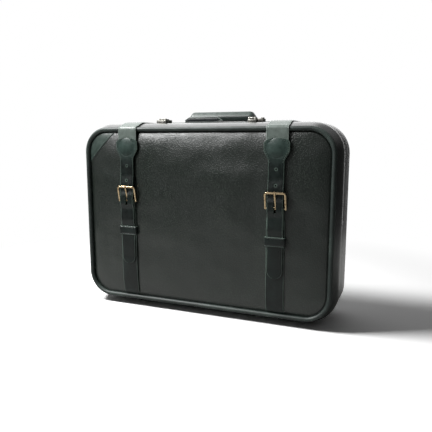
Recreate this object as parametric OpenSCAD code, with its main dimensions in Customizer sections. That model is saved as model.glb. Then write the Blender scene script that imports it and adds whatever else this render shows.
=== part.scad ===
// Vintage two-strap suitcase, standing upright on its hinge side.
// X runs left to right, Y from front to back, Z up. The origin lies on the floor, under
// the middle of the whole case. The modules draw the case with its parting line at Y 0.

/* [Case] */
// Width of the front face between its piping
face_w = 570; // [500:1:640]
// Height of the front face between its piping
face_h = 385; // [340:1:430]
// Corner radius of the front face
face_r = 48; // [42:1:60]
// Width of the piping round the front and rear faces
piping_w = 10; // [8:0.5:12]
// Straight height of the piping below its round top
piping_base = 4; // [3:0.5:6]
// Outward flare of the walls from the piping to the parting line
flare = 9; // [7:0.5:11]
// Depth of the lid, front piping to parting line
lid_depth = 52; // [48:1:64]
// Depth of the body, parting line to rear piping
body_depth = 98; // [94:1:120]
// Thickness of the fibreboard walls
wall_t = 4; // [3:0.5:5]
// Flat land of the lid wall beside the parting line
lid_land = 14; // [13.5:0.5:18]
// Flat land of the body wall behind the parting line
body_land = 67; // [66:1:72]
// Height that the feet lift the walls off the floor
foot_h = 7; // [6:0.5:10]
// Diameter of a foot
foot_d = 12; // [10:1:16]

/* [Panels] */
// Crown of the padded front panel at its middle
front_crown = 6; // [4:0.5:8]
// Crown of the padded rear panel at its middle
rear_crown = 4; // [2:0.5:6]
// Depth of a panel's edge below the top of its piping
panel_sink = 3; // [2:0.5:4]
// Width of the groove between a panel and its piping
groove_w = 1.5; // [1:0.25:2.5]
// Leg length of the corner patch on the front panel
patch_leg = 70; // [60:1:80]
// Thickness of the corner patch
patch_t = 1; // [0.6:0.1:1.6]

/* [Lining] */
// Thickness of the fabric-covered lining trays
lining_t = 1.2; // [0.8:0.1:2]
// Clearance between the lining and the walls
lining_gap = 0.3; // [0.2:0.1:0.6]
// Thickness of the steel valance round the mouth of the body
valance_t = 1.5; // [1:0.1:2]
// Reach of the valance into the lid
valance_reach = 6; // [4:0.5:8]
// Depth of the valance inside the body
valance_root = 14; // [10:1:20]
// Clearance round the valance in the lid
valance_gap = 0.5; // [0.4:0.1:0.8]

/* [Straps] */
// Distance of each strap's middle from the middle of the case
strap_x = 176; // [170:1:200]
// Thickness of the strap leather
strap_t = 2.5; // [2:0.1:3]
// Width of the band over the top and down the back
band_w = 47; // [44:1:50]
// Length of the band below the top of the front face
band_drop = 32; // [28:1:40]
// Width of the billet head
head_w = 55; // [50:1:60]
// Drop of the billet head's shoulders below the top of the face
head_top = 18; // [14:1:20]
// Drop at which the billet head starts to taper
head_taper = 40; // [38:1:44]
// Drop at which the billet head ends
head_end = 59; // [54:1:66]
// Height of the padded dome on the billet head
dome_h = 3.5; // [2:0.5:5]
// Width of the billet
billet_w = 34; // [30:1:36]
// Drop of the billet's tip below the top of the face
billet_drop = 306; // [270:1:330]
// Drop of the upper buckle hole
hole_drop = 77; // [70:1:84]
// Spacing of the buckle holes
hole_step = 33; // [28:1:34]
// Width of a buckle hole
hole_w = 4; // [3:0.5:5]
// Width of the buckle strap below the buckle
chape_w = 40; // [38:1:42]
// Length of the buckle strap's folded end
fold_len = 44; // [36:1:48]
// Drop of the keeper's upper edge below the top of the face
keeper_drop = 217; // [212:1:230]
// Width of the keeper along the strap
keeper_h = 20; // [14:1:24]
// Thickness of the keeper leather
keeper_t = 2; // [1.5:0.1:2.5]
// Clearance between layers of leather
leather_gap = 0.3; // [0.2:0.05:0.5]

/* [Buckles] */
// Drop of the buckle's heel bar below the top of the face
heel_drop = 157; // [150:1:164]
// Outer width of the buckle frame
buckle_w = 47; // [46:1:50]
// Width of the frame's side bars and nose bar
buckle_bar = 4.2; // [3.6:0.1:4.4]
// Distance from the heel bar to the outer edge of the nose bar
buckle_h = 34.5; // [32:0.5:38]
// Thickness of the buckle frame
buckle_t = 3; // [2.5:0.1:3.4]
// Radius of the frame's upper corners
buckle_r = 7; // [5:0.5:9]
// Diameter of the heel bar
heel_d = 3; // [2.6:0.1:3.4]
// Width of the prong
prong_w = 4; // [3:0.1:4.5]
// Thickness of the prong
prong_t = 2.2; // [1.8:0.1:2.6]

/* [Handle] */
// Offset of the handle to the right of the case's middle
handle_x = 16; // [0:1:18]
// Half of the length of the grip at its foot
grip_foot = 88; // [80:1:92]
// Half of the length of the grip at its top
grip_top = 72; // [66:1:76]
// Height of the grip
grip_h = 22; // [19:1:26]
// Depth of the grip
grip_d = 28; // [24:1:32]
// Rounding of the grip's long edges
grip_r = 7; // [5:0.5:8]
// Gap below the grip when it has dropped
grip_gap = 1.2; // [1:0.1:3]
// Rise of the handle when it is lifted
handle_rise = 14; // [10:1:16]
// Thickness of the stiffening board below the handle
board_t = 3; // [2:0.5:4]
// Half of the length of the board
board_x = 128; // [120:1:130]
// Depth of the board
board_d = 24; // [22:1:26]
// Thickness of the steel tongues
tongue_t = 3; // [2.5:0.1:3.5]
// Width of the steel tongues
tongue_w = 14; // [12:0.5:16]
// Clearance round the tongues in their sockets
tongue_gap = 0.15; // [0.1:0.05:0.3]
// Thickness of the leather tag on the front of the grip
tag_t = 3; // [2:0.5:4]

/* [Locks] */
// Distance of each lock's middle from the middle of the case
lock_x = 108; // [106:1:116]
// Height of the lock case
lock_h = 8; // [7.5:0.5:9]
// Travel of the lock's slider
slider_travel = 5.2; // [4.5:0.1:5.4]
// Radius of the bolt
bolt_r = 1.5; // [1.2:0.1:1.6]
// Thickness of the hasp
hasp_t = 1.7; // [1.4:0.1:2]
// Running clearance of pins and bolts
pin_gap = 0.05; // [0.03:0.01:0.08]

/* [Hinges] */
// Distance of each hinge's middle from the middle of the case
hinge_x = 110; // [90:1:125]
// Length of a hinge
hinge_len = 60; // [45:1:75]
// Radius of a hinge knuckle
knuckle_r = 2.4; // [2.2:0.1:2.5]
// Radius of a hinge pin
pin_r = 1.2; // [1:0.1:1.3]
// Thickness of a hinge leaf
leaf_t = 1.2; // [1:0.1:1.4]
// Reach of a hinge leaf from the pin
leaf_reach = 13; // [10:0.5:13]

/* [Hidden] */
$fn = 64;
eps = 0.01;
play = 0.3;

// Outline of the piping, which the walls start from
rim_w = face_w + 2 * piping_w;
rim_h = face_h + 2 * piping_w;
rim_r = face_r + piping_w;
piping_h = piping_base + piping_w / 2;
// Heights
crest_bottom = foot_h;
face_bottom = foot_h + flare + piping_w;
face_top = face_bottom + face_h;
face_mid = face_bottom + face_h / 2;
rim_top = face_top + piping_w;
crest_top = rim_top + flare;
board_top = crest_top + board_t;
// Depths
lid_plate_y = -lid_depth + piping_h;
body_plate_y = body_depth - piping_h;
front_edge_y = -lid_depth + panel_sink;
rear_edge_y = body_depth - panel_sink;
lock_front = 1;
lock_d = 20;
board_gap = 17;
board_y = lock_front + lock_d + board_gap + board_d / 2;
// Panels
panel_w = face_w - 2 * groove_w;
panel_h = face_h - 2 * groove_w;
panel_r = face_r - groove_w;
panel_power = 4;
panel_columns = 22;
patch_columns = 4;
corner_rows = 5;
side_rows = 10;
// Steps of the flaring curves and of the straps' curves
flare_steps = 8;
strap_steps = 24;
arc_steps = 8;

lid_green = "#23302c";
face_green = "#2a332e";
strap_green = "#2b3d39";
edge_green = "#34423d";
lining_cloth = "#8c7a5c";
brass = "#d9b779";
nickel = "#c9c9c4";
steel = "#8d9092";

// Offset of the wall's outer face from the piping outline, along the depth
function lid_u(y) =
    y >= -lid_land ? flare : flare * sin(90 * (y - lid_plate_y) / (-lid_land - lid_plate_y));
function body_u(y) =
    y <= body_land ? flare : flare * sin(90 * (body_plate_y - y) / (body_plate_y - body_land));
function span(a, b, n) = [for (i = [0:n]) a + (b - a) * i / n];

// Front and rear surfaces of the padded panels, crowned towards their middle
function crown_share(x, z) =
    (1 - pow(min(1, abs(2 * x / panel_w)), panel_power))
    * (1 - pow(min(1, abs(2 * (z - face_mid) / panel_h)), panel_power));
function front_y(x, z) = front_edge_y - front_crown * crown_share(x, z);
function rear_y(x, z) = rear_edge_y + rear_crown * crown_share(x, z);

// A rectangle with round corners, as an exact outline
module round_rect(w, h, r) {
    square([w - 2 * r, h], center = true);
    square([w, h - 2 * r], center = true);
    for (x = [-1, 1], y = [-1, 1])
        translate([x * (w / 2 - r), y * (h / 2 - r)]) circle(r);
}

// Carries a drawing in Y and Z along X
module along_x(length) {
    rotate([90, 0, 90]) linear_extrude(length, center = true) children();
}

// Carries a drawing in X and Z through the depth from y0 to y1
module along_y(y0, y1) {
    translate([0, y1, 0]) rotate([90, 0, 0]) linear_extrude(y1 - y0) children();
}

// Carries a wall section round the case. The section's X is its offset from the
// piping outline and its Y is the depth.
module wall_ring() {
    straight_w = rim_w - 2 * rim_r;
    straight_h = rim_h - 2 * rim_r;
    translate([0, 0, face_mid]) {
        for (turn = [0, 180])
            rotate([0, turn, 0]) {
                translate([rim_w / 2, 0, 0]) linear_extrude(straight_h, center = true) children();
                rotate([0, -90, 0])
                    translate([rim_h / 2, 0, 0]) linear_extrude(straight_w, center = true) children();
            }
        for (i = [0:3])
            rotate([0, -90 * i, 0])
                translate(i % 2 == 0 ? [straight_w / 2, 0, straight_h / 2]
                                     : [straight_h / 2, 0, straight_w / 2])
                    rotate([90, 0, 0]) mirror([0, 0, 1]) rotate_extrude(angle = 90)
                        translate([rim_r, 0]) children();
    }
}

// A flat plate with the case's outline, moved out by u, from y0 to y1
module case_plate(u, y0, y1) {
    translate([0, 0, face_mid])
        along_y(y0, y1) round_rect(rim_w + 2 * u, rim_h + 2 * u, rim_r + u);
}

// Section of a wall of thickness t whose outer face lies at the offsets us at the depths ys
module wall_section(us, ys, t) {
    last = len(ys) - 1;
    polygon(concat(
        [for (i = [0:last]) [us[i], ys[i]]],
        [for (i = [last:-1:0]) [us[i] - t, ys[i]]]));
}

// Section of the piping: a round top on a flat base that sits on the plate
glue_line = 0.05;
module piping_section() difference() {
    union() {
        translate([-piping_w, 0]) square([piping_w, piping_base]);
        translate([-piping_w / 2, piping_base]) circle(d = piping_w);
    }
    translate([-2 * piping_w, -piping_w]) square([3 * piping_w, piping_w + glue_line]);
}

lid_ys = concat(span(lid_plate_y, -lid_land, flare_steps), [0]);
body_ys = concat([0], span(body_land, body_plate_y, flare_steps));

module lid_shell() color(lid_green) {
    wall_ring() wall_section([for (y = lid_ys) lid_u(y)], lid_ys, wall_t);
    case_plate(-wall_t / 2, lid_plate_y, lid_plate_y + wall_t);
}

// Steel tongues of the handle pass through the body's top wall
module tongue_holes() {
    for (side = [-1, 1])
        translate([handle_x + side * tongue_x, board_y, crest_top])
            cube([tongue_t + 2 * play, tongue_w + 2 * play, 4 * wall_t], center = true);
}

module body_shell() color(lid_green) difference() {
    union() {
        wall_ring() wall_section([for (y = body_ys) body_u(y)], body_ys, wall_t);
        case_plate(-wall_t / 2, body_plate_y - wall_t, body_plate_y);
    }
    tongue_holes();
}

lining_in = wall_t + lining_gap;
lid_floor_y = lid_plate_y + wall_t + lining_gap;
body_floor_y = body_plate_y - wall_t - lining_gap;
lining_end = 1;

module lid_lining() color(lining_cloth) {
    ys = concat(span(lid_floor_y, -lid_land, flare_steps), [-lining_end]);
    wall_ring() wall_section([for (y = ys) lid_u(y) - lining_in], ys, lining_t);
    case_plate(lid_u(lid_floor_y) - lining_in - lining_t / 2, lid_floor_y, lid_floor_y + lining_t);
}

module body_lining() color(lining_cloth) difference() {
    ys = concat([lining_end], span(body_land, body_floor_y, flare_steps));
    union() {
        wall_ring() wall_section([for (y = ys) body_u(y) - lining_in], ys, lining_t);
        case_plate(body_u(body_floor_y) - lining_in - lining_t / 2, body_floor_y - lining_t, body_floor_y);
    }
    for (side = [-1, 1])
        translate([handle_x + side * tongue_x, board_y, crest_top - lining_in])
            cube([foot_plate_x + 4 * play, foot_plate_y + 4 * play, 4 * lining_t], center = true);
}

valance_u = flare - lining_in - lining_t - valance_gap;
module valance() color(steel) wall_ring()
    translate([valance_u - valance_t, -valance_reach]) square([valance_t, valance_reach + valance_root]);

module front_piping() color(edge_green) wall_ring()
    translate([0, lid_plate_y]) mirror([0, 1]) piping_section();
module rear_piping() color(edge_green) wall_ring() translate([0, body_plate_y]) piping_section();

// Half of the panel's width at a height, less in the round corners
function panel_half(z) =
    let (rise = max(0, abs(z - face_mid) - (panel_h / 2 - panel_r)))
    panel_w / 2 - panel_r + sqrt(max(0, panel_r * panel_r - rise * rise));

// Heights of a panel's rows: even down the sides, and stepped round the corners
panel_zs = concat(
    [for (a = span(-90, 0, corner_rows)) face_mid - panel_h / 2 + panel_r + panel_r * sin(a)],
    [for (i = [1:side_rows - 1]) face_mid + (i / side_rows - 0.5) * (panel_h - 2 * panel_r)],
    [for (a = span(0, 90, corner_rows)) face_mid + panel_h / 2 - panel_r + panel_r * sin(a)]);

// A closed solid between two faces, each given as rows of points with Y towards the viewer
module quilt(near, far) {
    rows = len(near);
    row = len(near[0]);
    grid = rows * row;
    rim = concat(
        [for (i = [0:row - 1]) i],
        [for (j = [1:rows - 1]) j * row + row - 1],
        [for (i = [row - 2:-1:0]) (rows - 1) * row + i],
        [for (j = [rows - 2:-1:1]) j * row]);
    n = len(rim);
    cells = [for (j = [0:rows - 2], i = [0:row - 2]) j * row + i];
    points = concat([for (r = near, p = r) p], [for (r = far, p = r) p]);
    front = [for (a = cells, half = [0, 1]) half == 0 ? [a, a + row, a + 1] : [a + 1, a + row, a + row + 1]];
    back = [for (f = front) [f[2] + grid, f[1] + grid, f[0] + grid]];
    walls = [for (k = [0:n - 1], half = [0, 1])
        let (a = rim[k], b = rim[(k + 1) % n])
        half == 0 ? [a, b, a + grid] : [b, b + grid, a + grid]];
    polyhedron(points, concat(front, back, walls));
}

// A padded panel is crowned outside and flat where it lies on its board
module front_panel() color(face_green) quilt(
    [for (z = panel_zs) [for (x = span(-panel_half(z), panel_half(z), panel_columns)) [x, front_y(x, z), z]]],
    [for (z = panel_zs) [for (x = span(-panel_half(z), panel_half(z), panel_columns)) [x, lid_plate_y, z]]]);
module rear_panel() color(face_green) quilt(
    [for (z = panel_zs) [for (x = span(panel_half(z), -panel_half(z), panel_columns)) [x, rear_y(x, z), z]]],
    [for (z = panel_zs) [for (x = span(panel_half(z), -panel_half(z), panel_columns)) [x, body_plate_y, z]]]);

// Triangular leather patch on the upper left corner of the front panel
patch_tip = 2;
patch_zs = concat(
    span(face_mid + panel_h / 2 - patch_leg + patch_tip, face_mid + panel_h / 2 - panel_r, patch_columns - 1),
    [for (a = span(0, 90, corner_rows)) if (a > 0) face_mid + panel_h / 2 - panel_r + panel_r * sin(a)]);
function patch_xs(z) =
    span(-panel_half(z), z - face_mid - panel_h / 2 + patch_leg - panel_w / 2, patch_columns);
module corner_patch() color(strap_green) quilt(
    [for (z = patch_zs) [for (x = patch_xs(z)) [x, front_y(x, z) - leather_gap - patch_t, z]]],
    [for (z = patch_zs) [for (x = patch_xs(z)) [x, front_y(x, z) - leather_gap, z]]]);

// A foot is a turned stud with a bevelled sole
foot_bevel = 1.5;
module foot() rotate_extrude()
    polygon([[0, 0], [foot_d / 2 - foot_bevel, 0], [foot_d / 2, foot_bevel],
        [foot_d / 2, foot_h], [0, foot_h]]);

module lid_feet() color(nickel) for (side = [-1, 1]) translate([side * strap_x, -lid_land / 2, 0]) foot();
module body_feet() color(nickel)
    for (side = [-1, 1]) translate([side * strap_x, body_land - foot_d, 0]) foot();

// Straps

// Points of a path moved sideways to its left by t
function beside(path, t) = [for (i = [0:len(path) - 1])
    let (a = path[max(0, i - 1)], b = path[min(len(path) - 1, i + 1)], d = b - a)
    path[i] + t * [-d[1], d[0]] / norm(d)];
module ribbon(path, t) {
    outer = beside(path, t);
    last = len(path) - 1;
    polygon(concat(path, [for (i = [last:-1:0]) outer[i]]));
}
function arc(y, z, r, from, to) = [for (a = span(from, to, arc_steps)) [y + r * cos(a), z + r * sin(a)]];

// Surface that the straps lie on: the crowned panel, and the piping near the top
function strap_y(z) =
    let (panel_y = front_y(strap_x - band_w / 2, z) - leather_gap)
    z > face_mid ? min(panel_y, -lid_depth - leather_gap) : panel_y;
function back_y(z) =
    let (panel_y = rear_y(strap_x - band_w / 2, z) + leather_gap)
    z > face_mid ? max(panel_y, body_depth + leather_gap) : panel_y;

// Drawing in Y and Z of a layer on the strap surface, between two distances from it
module layer(zs, near, far) {
    last = len(zs) - 1;
    polygon(concat(
        [for (i = [0:last]) [strap_y(zs[i]) - near[i], zs[i]]],
        [for (i = [last:-1:0]) [strap_y(zs[i]) - far[i], zs[i]]]));
}
module even_layer(z0, z1, near, far) {
    zs = span(z0, z1, strap_steps);
    layer(zs, [for (z = zs) near], [for (z = zs) far]);
}

module strap_band() color(strap_green) {
    wall_ys = concat(span(lid_plate_y, -lid_land, flare_steps), [-leather_gap]);
    path = concat(
        [[-lid_depth - leather_gap, face_top - band_drop]],
        arc(-lid_depth + piping_w / 2, rim_top - piping_w / 2, piping_w / 2 + leather_gap, 180, 90),
        [for (y = wall_ys) [y, rim_top + lid_u(y) + leather_gap]]);
    along_x(band_w) ribbon(path, strap_t);
}

module back_strap() color(strap_green) {
    wall_ys = concat([leather_gap], span(body_land, body_plate_y, flare_steps));
    path = concat(
        [for (y = wall_ys) [y, rim_top + body_u(y) + leather_gap]],
        arc(body_depth - piping_w / 2, rim_top - piping_w / 2, piping_w / 2 + leather_gap, 90, 0),
        [for (z = span(face_top, face_bottom + groove_w, strap_steps)) [back_y(z), z]]);
    along_x(band_w) ribbon(path, strap_t);
}

// Buckle, seated on the heel bar that the folded end of the buckle strap holds
heel_z = face_top - heel_drop;
heel_hole_r = heel_d / 2 + leather_gap;
heel_off = strap_t + heel_hole_r;
heel_y = strap_y(heel_z) - heel_off;
skive = 0.5;
fold_t = strap_t - skive;
fold_open = 18;
neck_play = 1.3;
chape_neck_w = buckle_w - 2 * buckle_bar - 2 * neck_play;
chape_slot = 10;
buckle_lug = 1;
buckle_tilt = 11;
prong_tilt = 16;
prong_over = 2.5;
prong_len = buckle_h + prong_over;
prong_wall = 1.8;
prong_ring_r = heel_d / 2 + prong_wall;
slot_play = 0.8;
prong_slot_w = prong_w + 2 * slot_play;

// Distances of the billet from the strap surface: under the head, behind the nose bar,
// over the heel bar, over the folded end and over the buckle strap
on_strap = strap_t + leather_gap;
on_fold = strap_t + fold_t + leather_gap;
on_heel = strap_t + 2 * heel_hole_r + fold_t + leather_gap;
nose_gap = 0.4;
behind_nose = heel_off + (buckle_h - buckle_bar) * sin(buckle_tilt) - buckle_t / 2 - strap_t - nose_gap;
// Lengths of the billet's slopes below the fold, over the heel bar and above the nose bar
fold_slope = 12;
fold_clear = 2;
heel_below = 5;
heel_above = 3;
heel_slope = 19;
nose_clear = 4;
nose_slope = 20;
billet_tip = face_top - billet_drop;
billet_path = [
    [billet_tip, on_strap],
    [heel_z - fold_len - fold_clear - fold_slope, on_strap],
    [heel_z - fold_len - fold_clear, on_fold],
    [heel_z - fold_open, on_fold],
    [heel_z - heel_below, on_heel],
    [heel_z + heel_above, on_heel],
    [heel_z + heel_above + heel_slope, behind_nose],
    [heel_z + buckle_h + nose_clear, behind_nose],
    [heel_z + buckle_h + nose_clear + nose_slope, on_strap],
    [face_top, on_strap]
];
billet_cuts = 4;
billet_zs = concat(
    [for (k = [0:len(billet_path) - 2], i = [0:billet_cuts - 1])
        billet_path[k][0] + (billet_path[k + 1][0] - billet_path[k][0]) * i / billet_cuts],
    [face_top]);

// Face of the billet seen from the front, below the top of the case's face
head_arch = 4;
head_corner = 5;
module billet_outline() {
    translate([-billet_w / 2, -billet_drop + billet_w / 2])
        square([billet_w, billet_drop - billet_w / 2 - head_end]);
    translate([0, -billet_drop + billet_w / 2]) circle(d = billet_w);
    polygon(concat(
        [[billet_w / 2, -head_end - eps], [head_w / 2, -head_taper], [head_w / 2, -head_top - head_corner]],
        [for (x = span(head_w / 2 - head_corner, -head_w / 2 + head_corner, arc_steps))
            [x, -head_top + head_arch * (1 - pow(2 * x / (head_w - 2 * head_corner), 2))]],
        [[-head_w / 2, -head_top - head_corner], [-head_w / 2, -head_taper],
         [-billet_w / 2, -head_end - eps]]));
}

// Padded dome sewn into the head, a cap of a sphere on the head's face
dome_margin = 8.5;
dome_drop = 5;
dome_r = head_w / 2 - dome_margin;
dome_sphere_r = (dome_r * dome_r + dome_h * dome_h) / (2 * dome_h);
dome_z = face_top - (head_top + head_taper) / 2 - dome_drop;
module head_dome() {
    face_y = strap_y(dome_z) - on_strap - strap_t;
    intersection() {
        translate([0, face_y - dome_h + dome_sphere_r, dome_z]) sphere(dome_sphere_r, $fn = 96);
        translate([0, face_y + eps, dome_z]) rotate([90, 0, 0]) cylinder(r = dome_r, h = 2 * dome_h);
    }
}

slot_below = 10;
slot_above = 24;
module billet() color(strap_green) {
    near = [for (z = billet_zs) lookup(z, billet_path)];
    far = [for (d = near) d + strap_t];
    difference() {
        intersection() {
            along_x(2 * head_w) layer(billet_zs, near, far);
            translate([0, 0, face_top]) along_y(-3 * lid_depth, 0) billet_outline();
        }
        translate([0, 0, face_top]) along_y(-3 * lid_depth, 0) {
            for (i = [0, 1])
                translate([0, -hole_drop - i * hole_step]) circle(d = hole_w);
            translate([-prong_slot_w / 2, -heel_drop - slot_below])
                square([prong_slot_w, slot_below + slot_above]);
        }
    }
    head_dome();
}

// The buckle strap: sewn in at the bottom groove, folded round the heel bar at its top
module buckle_strap() color(strap_green) difference() {
    union() {
        along_x(chape_w) even_layer(face_bottom + groove_w, heel_z - fold_len / 2, 0, strap_t);
        along_x(chape_neck_w) {
            even_layer(heel_z - fold_len, heel_z, 0, strap_t);
            layer([heel_z - fold_len, heel_z - fold_open, heel_z],
                [strap_t, strap_t, heel_off + heel_hole_r],
                [strap_t + fold_t, strap_t + fold_t, heel_off + heel_hole_r + fold_t]);
            translate([heel_y, heel_z]) difference() {
                circle(heel_hole_r + fold_t);
                circle(heel_hole_r);
                translate([-4 * fold_t, -8 * fold_t]) square([8 * fold_t, 8 * fold_t]);
            }
        }
    }
    translate([0, heel_y, heel_z]) {
        along_x(prong_slot_w) circle(prong_ring_r + play);
        translate([-prong_slot_w / 2, -2 * heel_off - 2 * fold_t, -chape_slot])
            cube([prong_slot_w, 2 * heel_off + 2 * fold_t + prong_t / 2 + play, 2 * chape_slot]);
    }
}

module keeper() color(strap_green) {
    z1 = face_top - keeper_drop;
    z0 = z1 - keeper_h;
    inside = on_strap + strap_t + leather_gap;
    inner_w = chape_w + 2 * leather_gap;
    difference() {
        along_x(inner_w + 2 * keeper_t) even_layer(z0, z1, 0, inside + keeper_t);
        along_x(inner_w) even_layer(z0 - 1, z1 + 1, -1, inside);
    }
}

// Things on the buckle are drawn flat round the heel bar, then leaned out by an angle
module on_heel_bar(angle) {
    translate([0, heel_y, heel_z]) rotate([angle, 0, 0]) children();
}

module buckle_frame() color(brass) on_heel_bar(buckle_tilt) {
    half = buckle_w / 2;
    inner = half - buckle_bar;
    foot = heel_d / 2 + buckle_lug;
    along_y(-buckle_t / 2, buckle_t / 2) difference() {
        union() {
            translate([-half, -foot]) square([buckle_w, buckle_h + foot - buckle_r]);
            translate([-half + buckle_r, 0]) square([buckle_w - 2 * buckle_r, buckle_h]);
            for (side = [-1, 1]) translate([side * (half - buckle_r), buckle_h - buckle_r]) circle(buckle_r);
        }
        translate([-inner, -2 * foot]) square([2 * inner, buckle_h - buckle_bar + 2 * foot]);
    }
    along_x(2 * inner + buckle_bar) circle(d = heel_d);
}

module prong() color(brass) on_heel_bar(prong_tilt) {
    along_x(prong_w) difference() {
        circle(prong_ring_r);
        circle(heel_d / 2 + pin_gap);
    }
    along_y(-prong_t / 2, prong_t / 2) {
        root = heel_d / 2 + prong_wall / 2;
        translate([-prong_w / 2, root]) square([prong_w, prong_len - prong_w / 2 - root]);
        translate([0, prong_len - prong_w / 2]) circle(d = prong_w);
    }
}

// Handle

tongue_in = 6;
tongue_x = (grip_foot + grip_top) / 2 - tongue_in;
tongue_hold = 12;
grip_bottom = board_top + grip_gap;
tongue_top = grip_bottom + tongue_hold;
foot_plate_lip = 4;
foot_plate_x = 2 * foot_plate_lip;
foot_plate_y = tongue_w + 2 * foot_plate_lip;
foot_plate_t = 3;
foot_plate_top = crest_top - wall_t - handle_rise - play;
socket_t = grip_gap - play;
socket_l = 30;
socket_flange = 1;
socket_rim = 3;
cover_t = 1.2;
cover_room = 4;
cover_depth = handle_rise + foot_plate_t + cover_room - 1;
cover_r = 3;
board_round = 1;

module handle_board() color(strap_green) difference() {
    translate([handle_x, board_y, crest_top]) linear_extrude(board_t)
        round_rect(2 * board_x, board_d, board_d / 2 - board_round);
    tongue_holes();
}

module handle_grip() color(strap_green) difference() {
    translate([handle_x, board_y, grip_bottom]) intersection() {
        along_y(-grip_d, grip_d)
            polygon([[-grip_foot, 0], [grip_foot, 0], [grip_top, grip_h], [-grip_top, grip_h]]);
        translate([0, 0, grip_h / 2]) along_x(2 * grip_foot) round_rect(grip_d, grip_h, grip_r);
    }
    for (side = [-1, 1]) handle_tongue(side);
}

// A flat steel tongue hangs from each end of the grip. Its foot plate stops the rise.
module handle_tongue(side) color(steel) translate([handle_x + side * tongue_x, board_y, 0]) {
    translate([-tongue_t / 2, -tongue_w / 2, foot_plate_top - eps])
        cube([tongue_t, tongue_w, tongue_top - foot_plate_top + eps]);
    translate([-foot_plate_x / 2, -foot_plate_y / 2, foot_plate_top - foot_plate_t])
        cube([foot_plate_x, foot_plate_y, foot_plate_t]);
}

module handle_socket(side) color(nickel)
    translate([handle_x + side * tongue_x, board_y, board_top]) difference() {
    union() {
        linear_extrude(socket_t / 3)
            round_rect(socket_l, board_d - 2 * socket_flange, socket_rim + socket_flange);
        linear_extrude(socket_t) round_rect(socket_l / 2, board_d - 2 * socket_rim, socket_rim);
    }
    cube([tongue_t + 2 * tongue_gap, tongue_w + 2 * tongue_gap, 4 * socket_t], center = true);
}

// Pressed cover inside the lining that keeps the luggage off the tongue
cover_x = foot_plate_x + 2 * cover_room;
cover_y = foot_plate_y + 2 * cover_room;
cover_top = crest_top - lining_in - lining_t - leather_gap;
module handle_cover(side) color(lining_cloth)
    translate([handle_x + side * tongue_x, board_y, cover_top - cover_depth])
        difference() {
            linear_extrude(cover_depth)
                round_rect(cover_x + 2 * cover_t, cover_y + 2 * cover_t, cover_r + cover_t);
            translate([0, 0, cover_t]) linear_extrude(cover_depth) round_rect(cover_x, cover_y, cover_r);
        }

// Leather tag sewn to the left half of the grip's front
tag_foot = 1.5;
tag_point = 8;
tag_back = 6;
tag_slant = 12;
tag_cover = 11;
tag_h = board_t + grip_gap - tag_foot + tag_cover;
module handle_tag() color(strap_green) translate([handle_x, board_y - grip_d / 2, crest_top + tag_foot])
    along_y(-tag_t, 0)
        polygon([[-grip_foot, 0], [-tag_point, 0], [tag_point, tag_h / 3], [-tag_back, tag_h],
            [tag_slant - grip_foot, tag_h], [-grip_foot, tag_h / 2]]);

// Locks. Each is drawn at the parting line on the top wall, with its slider on the outer side.

lock_in = 9;
lock_w = 30;
lock_floor = 1;
lock_roof = 1.6;
notch_w = 8.6;
notch_d = 12;
staple_w = 6;
staple_l = 7;
staple_gap = 0.4;
bolt_y = 7;
bolt_z = lock_h / 2;
slider_x = 12;
slider_l = 7;
slider_y = 5;
slider_d = 13.6;
slider_room = 0.4;
pocket_x0 = slider_x - slider_travel - play;
pocket_x1 = slider_x + slider_l + play;
stem_w = 3.6;
stem_x = slider_x + 2;
stem_y = 16;
knob_w = 6;
knob_h = 2.5;
hasp_axis_y = -8;
hasp_axis_z = lock_h + 1;
hasp_knuckle_r = 2.2;
hasp_pin_r = 1.1;
hasp_mid = 8;
hasp_w = 12;
hasp_neck = 3.5;
base_half = 9;
base_d = 8;

module lock_place(side) translate([side * lock_x, 0, crest_top]) mirror([side < 0 ? 1 : 0, 0, 0]) children();

module lock_case(side) color(nickel) lock_place(side) difference() {
    translate([-lock_in, lock_front, 0]) cube([lock_w, lock_d, lock_h]);
    translate([-notch_w / 2, 0, lock_floor]) cube([notch_w, notch_d, lock_h]);
    translate([pocket_x0, slider_y - slider_room, -lock_roof])
        cube([pocket_x1 - pocket_x0, slider_d + 2 * slider_room, lock_h]);
    translate([0, bolt_y, bolt_z]) rotate([0, 90, 0]) cylinder(r = bolt_r + pin_gap, h = slider_x);
    translate([stem_x - slider_travel - play, stem_y - stem_w / 2 - play, 0])
        cube([slider_travel + stem_w + 2 * play, stem_w + 2 * play, 2 * lock_h]);
}

module lock_slider(side) color(nickel) lock_place(side) {
    translate([slider_x, slider_y, play]) cube([slider_l, slider_d, lock_h - lock_roof - 2 * play]);
    translate([notch_w / 2 + play, bolt_y, bolt_z]) rotate([0, 90, 0])
        cylinder(r = bolt_r, h = slider_x - notch_w / 2);
    translate([stem_x, stem_y - stem_w / 2, play]) cube([stem_w, stem_w, lock_h + play]);
    translate([stem_x + (stem_w - knob_w) / 2, stem_y - knob_w / 2, lock_h + play])
        cube([knob_w, knob_w, knob_h]);
}

module hasp_base(side) color(nickel) lock_place(side) {
    translate([-base_half, hasp_axis_y - base_d / 2, 0])
        cube([2 * base_half, base_d, hasp_axis_z - hasp_knuckle_r - 2 * play]);
    for (x = [-1, 1]) translate([x * (base_half + hasp_mid / 2 + play) / 2, hasp_axis_y, 0]) {
        length = base_half - hasp_mid / 2 - play;
        translate([0, 0, hasp_axis_z]) along_x(length) circle(hasp_knuckle_r);
        translate([-length / 2, -hasp_knuckle_r, 0]) cube([length, 2 * hasp_knuckle_r, hasp_axis_z]);
    }
    translate([0, hasp_axis_y, hasp_axis_z]) along_x(2 * base_half - 1) circle(hasp_pin_r);
}

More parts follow.
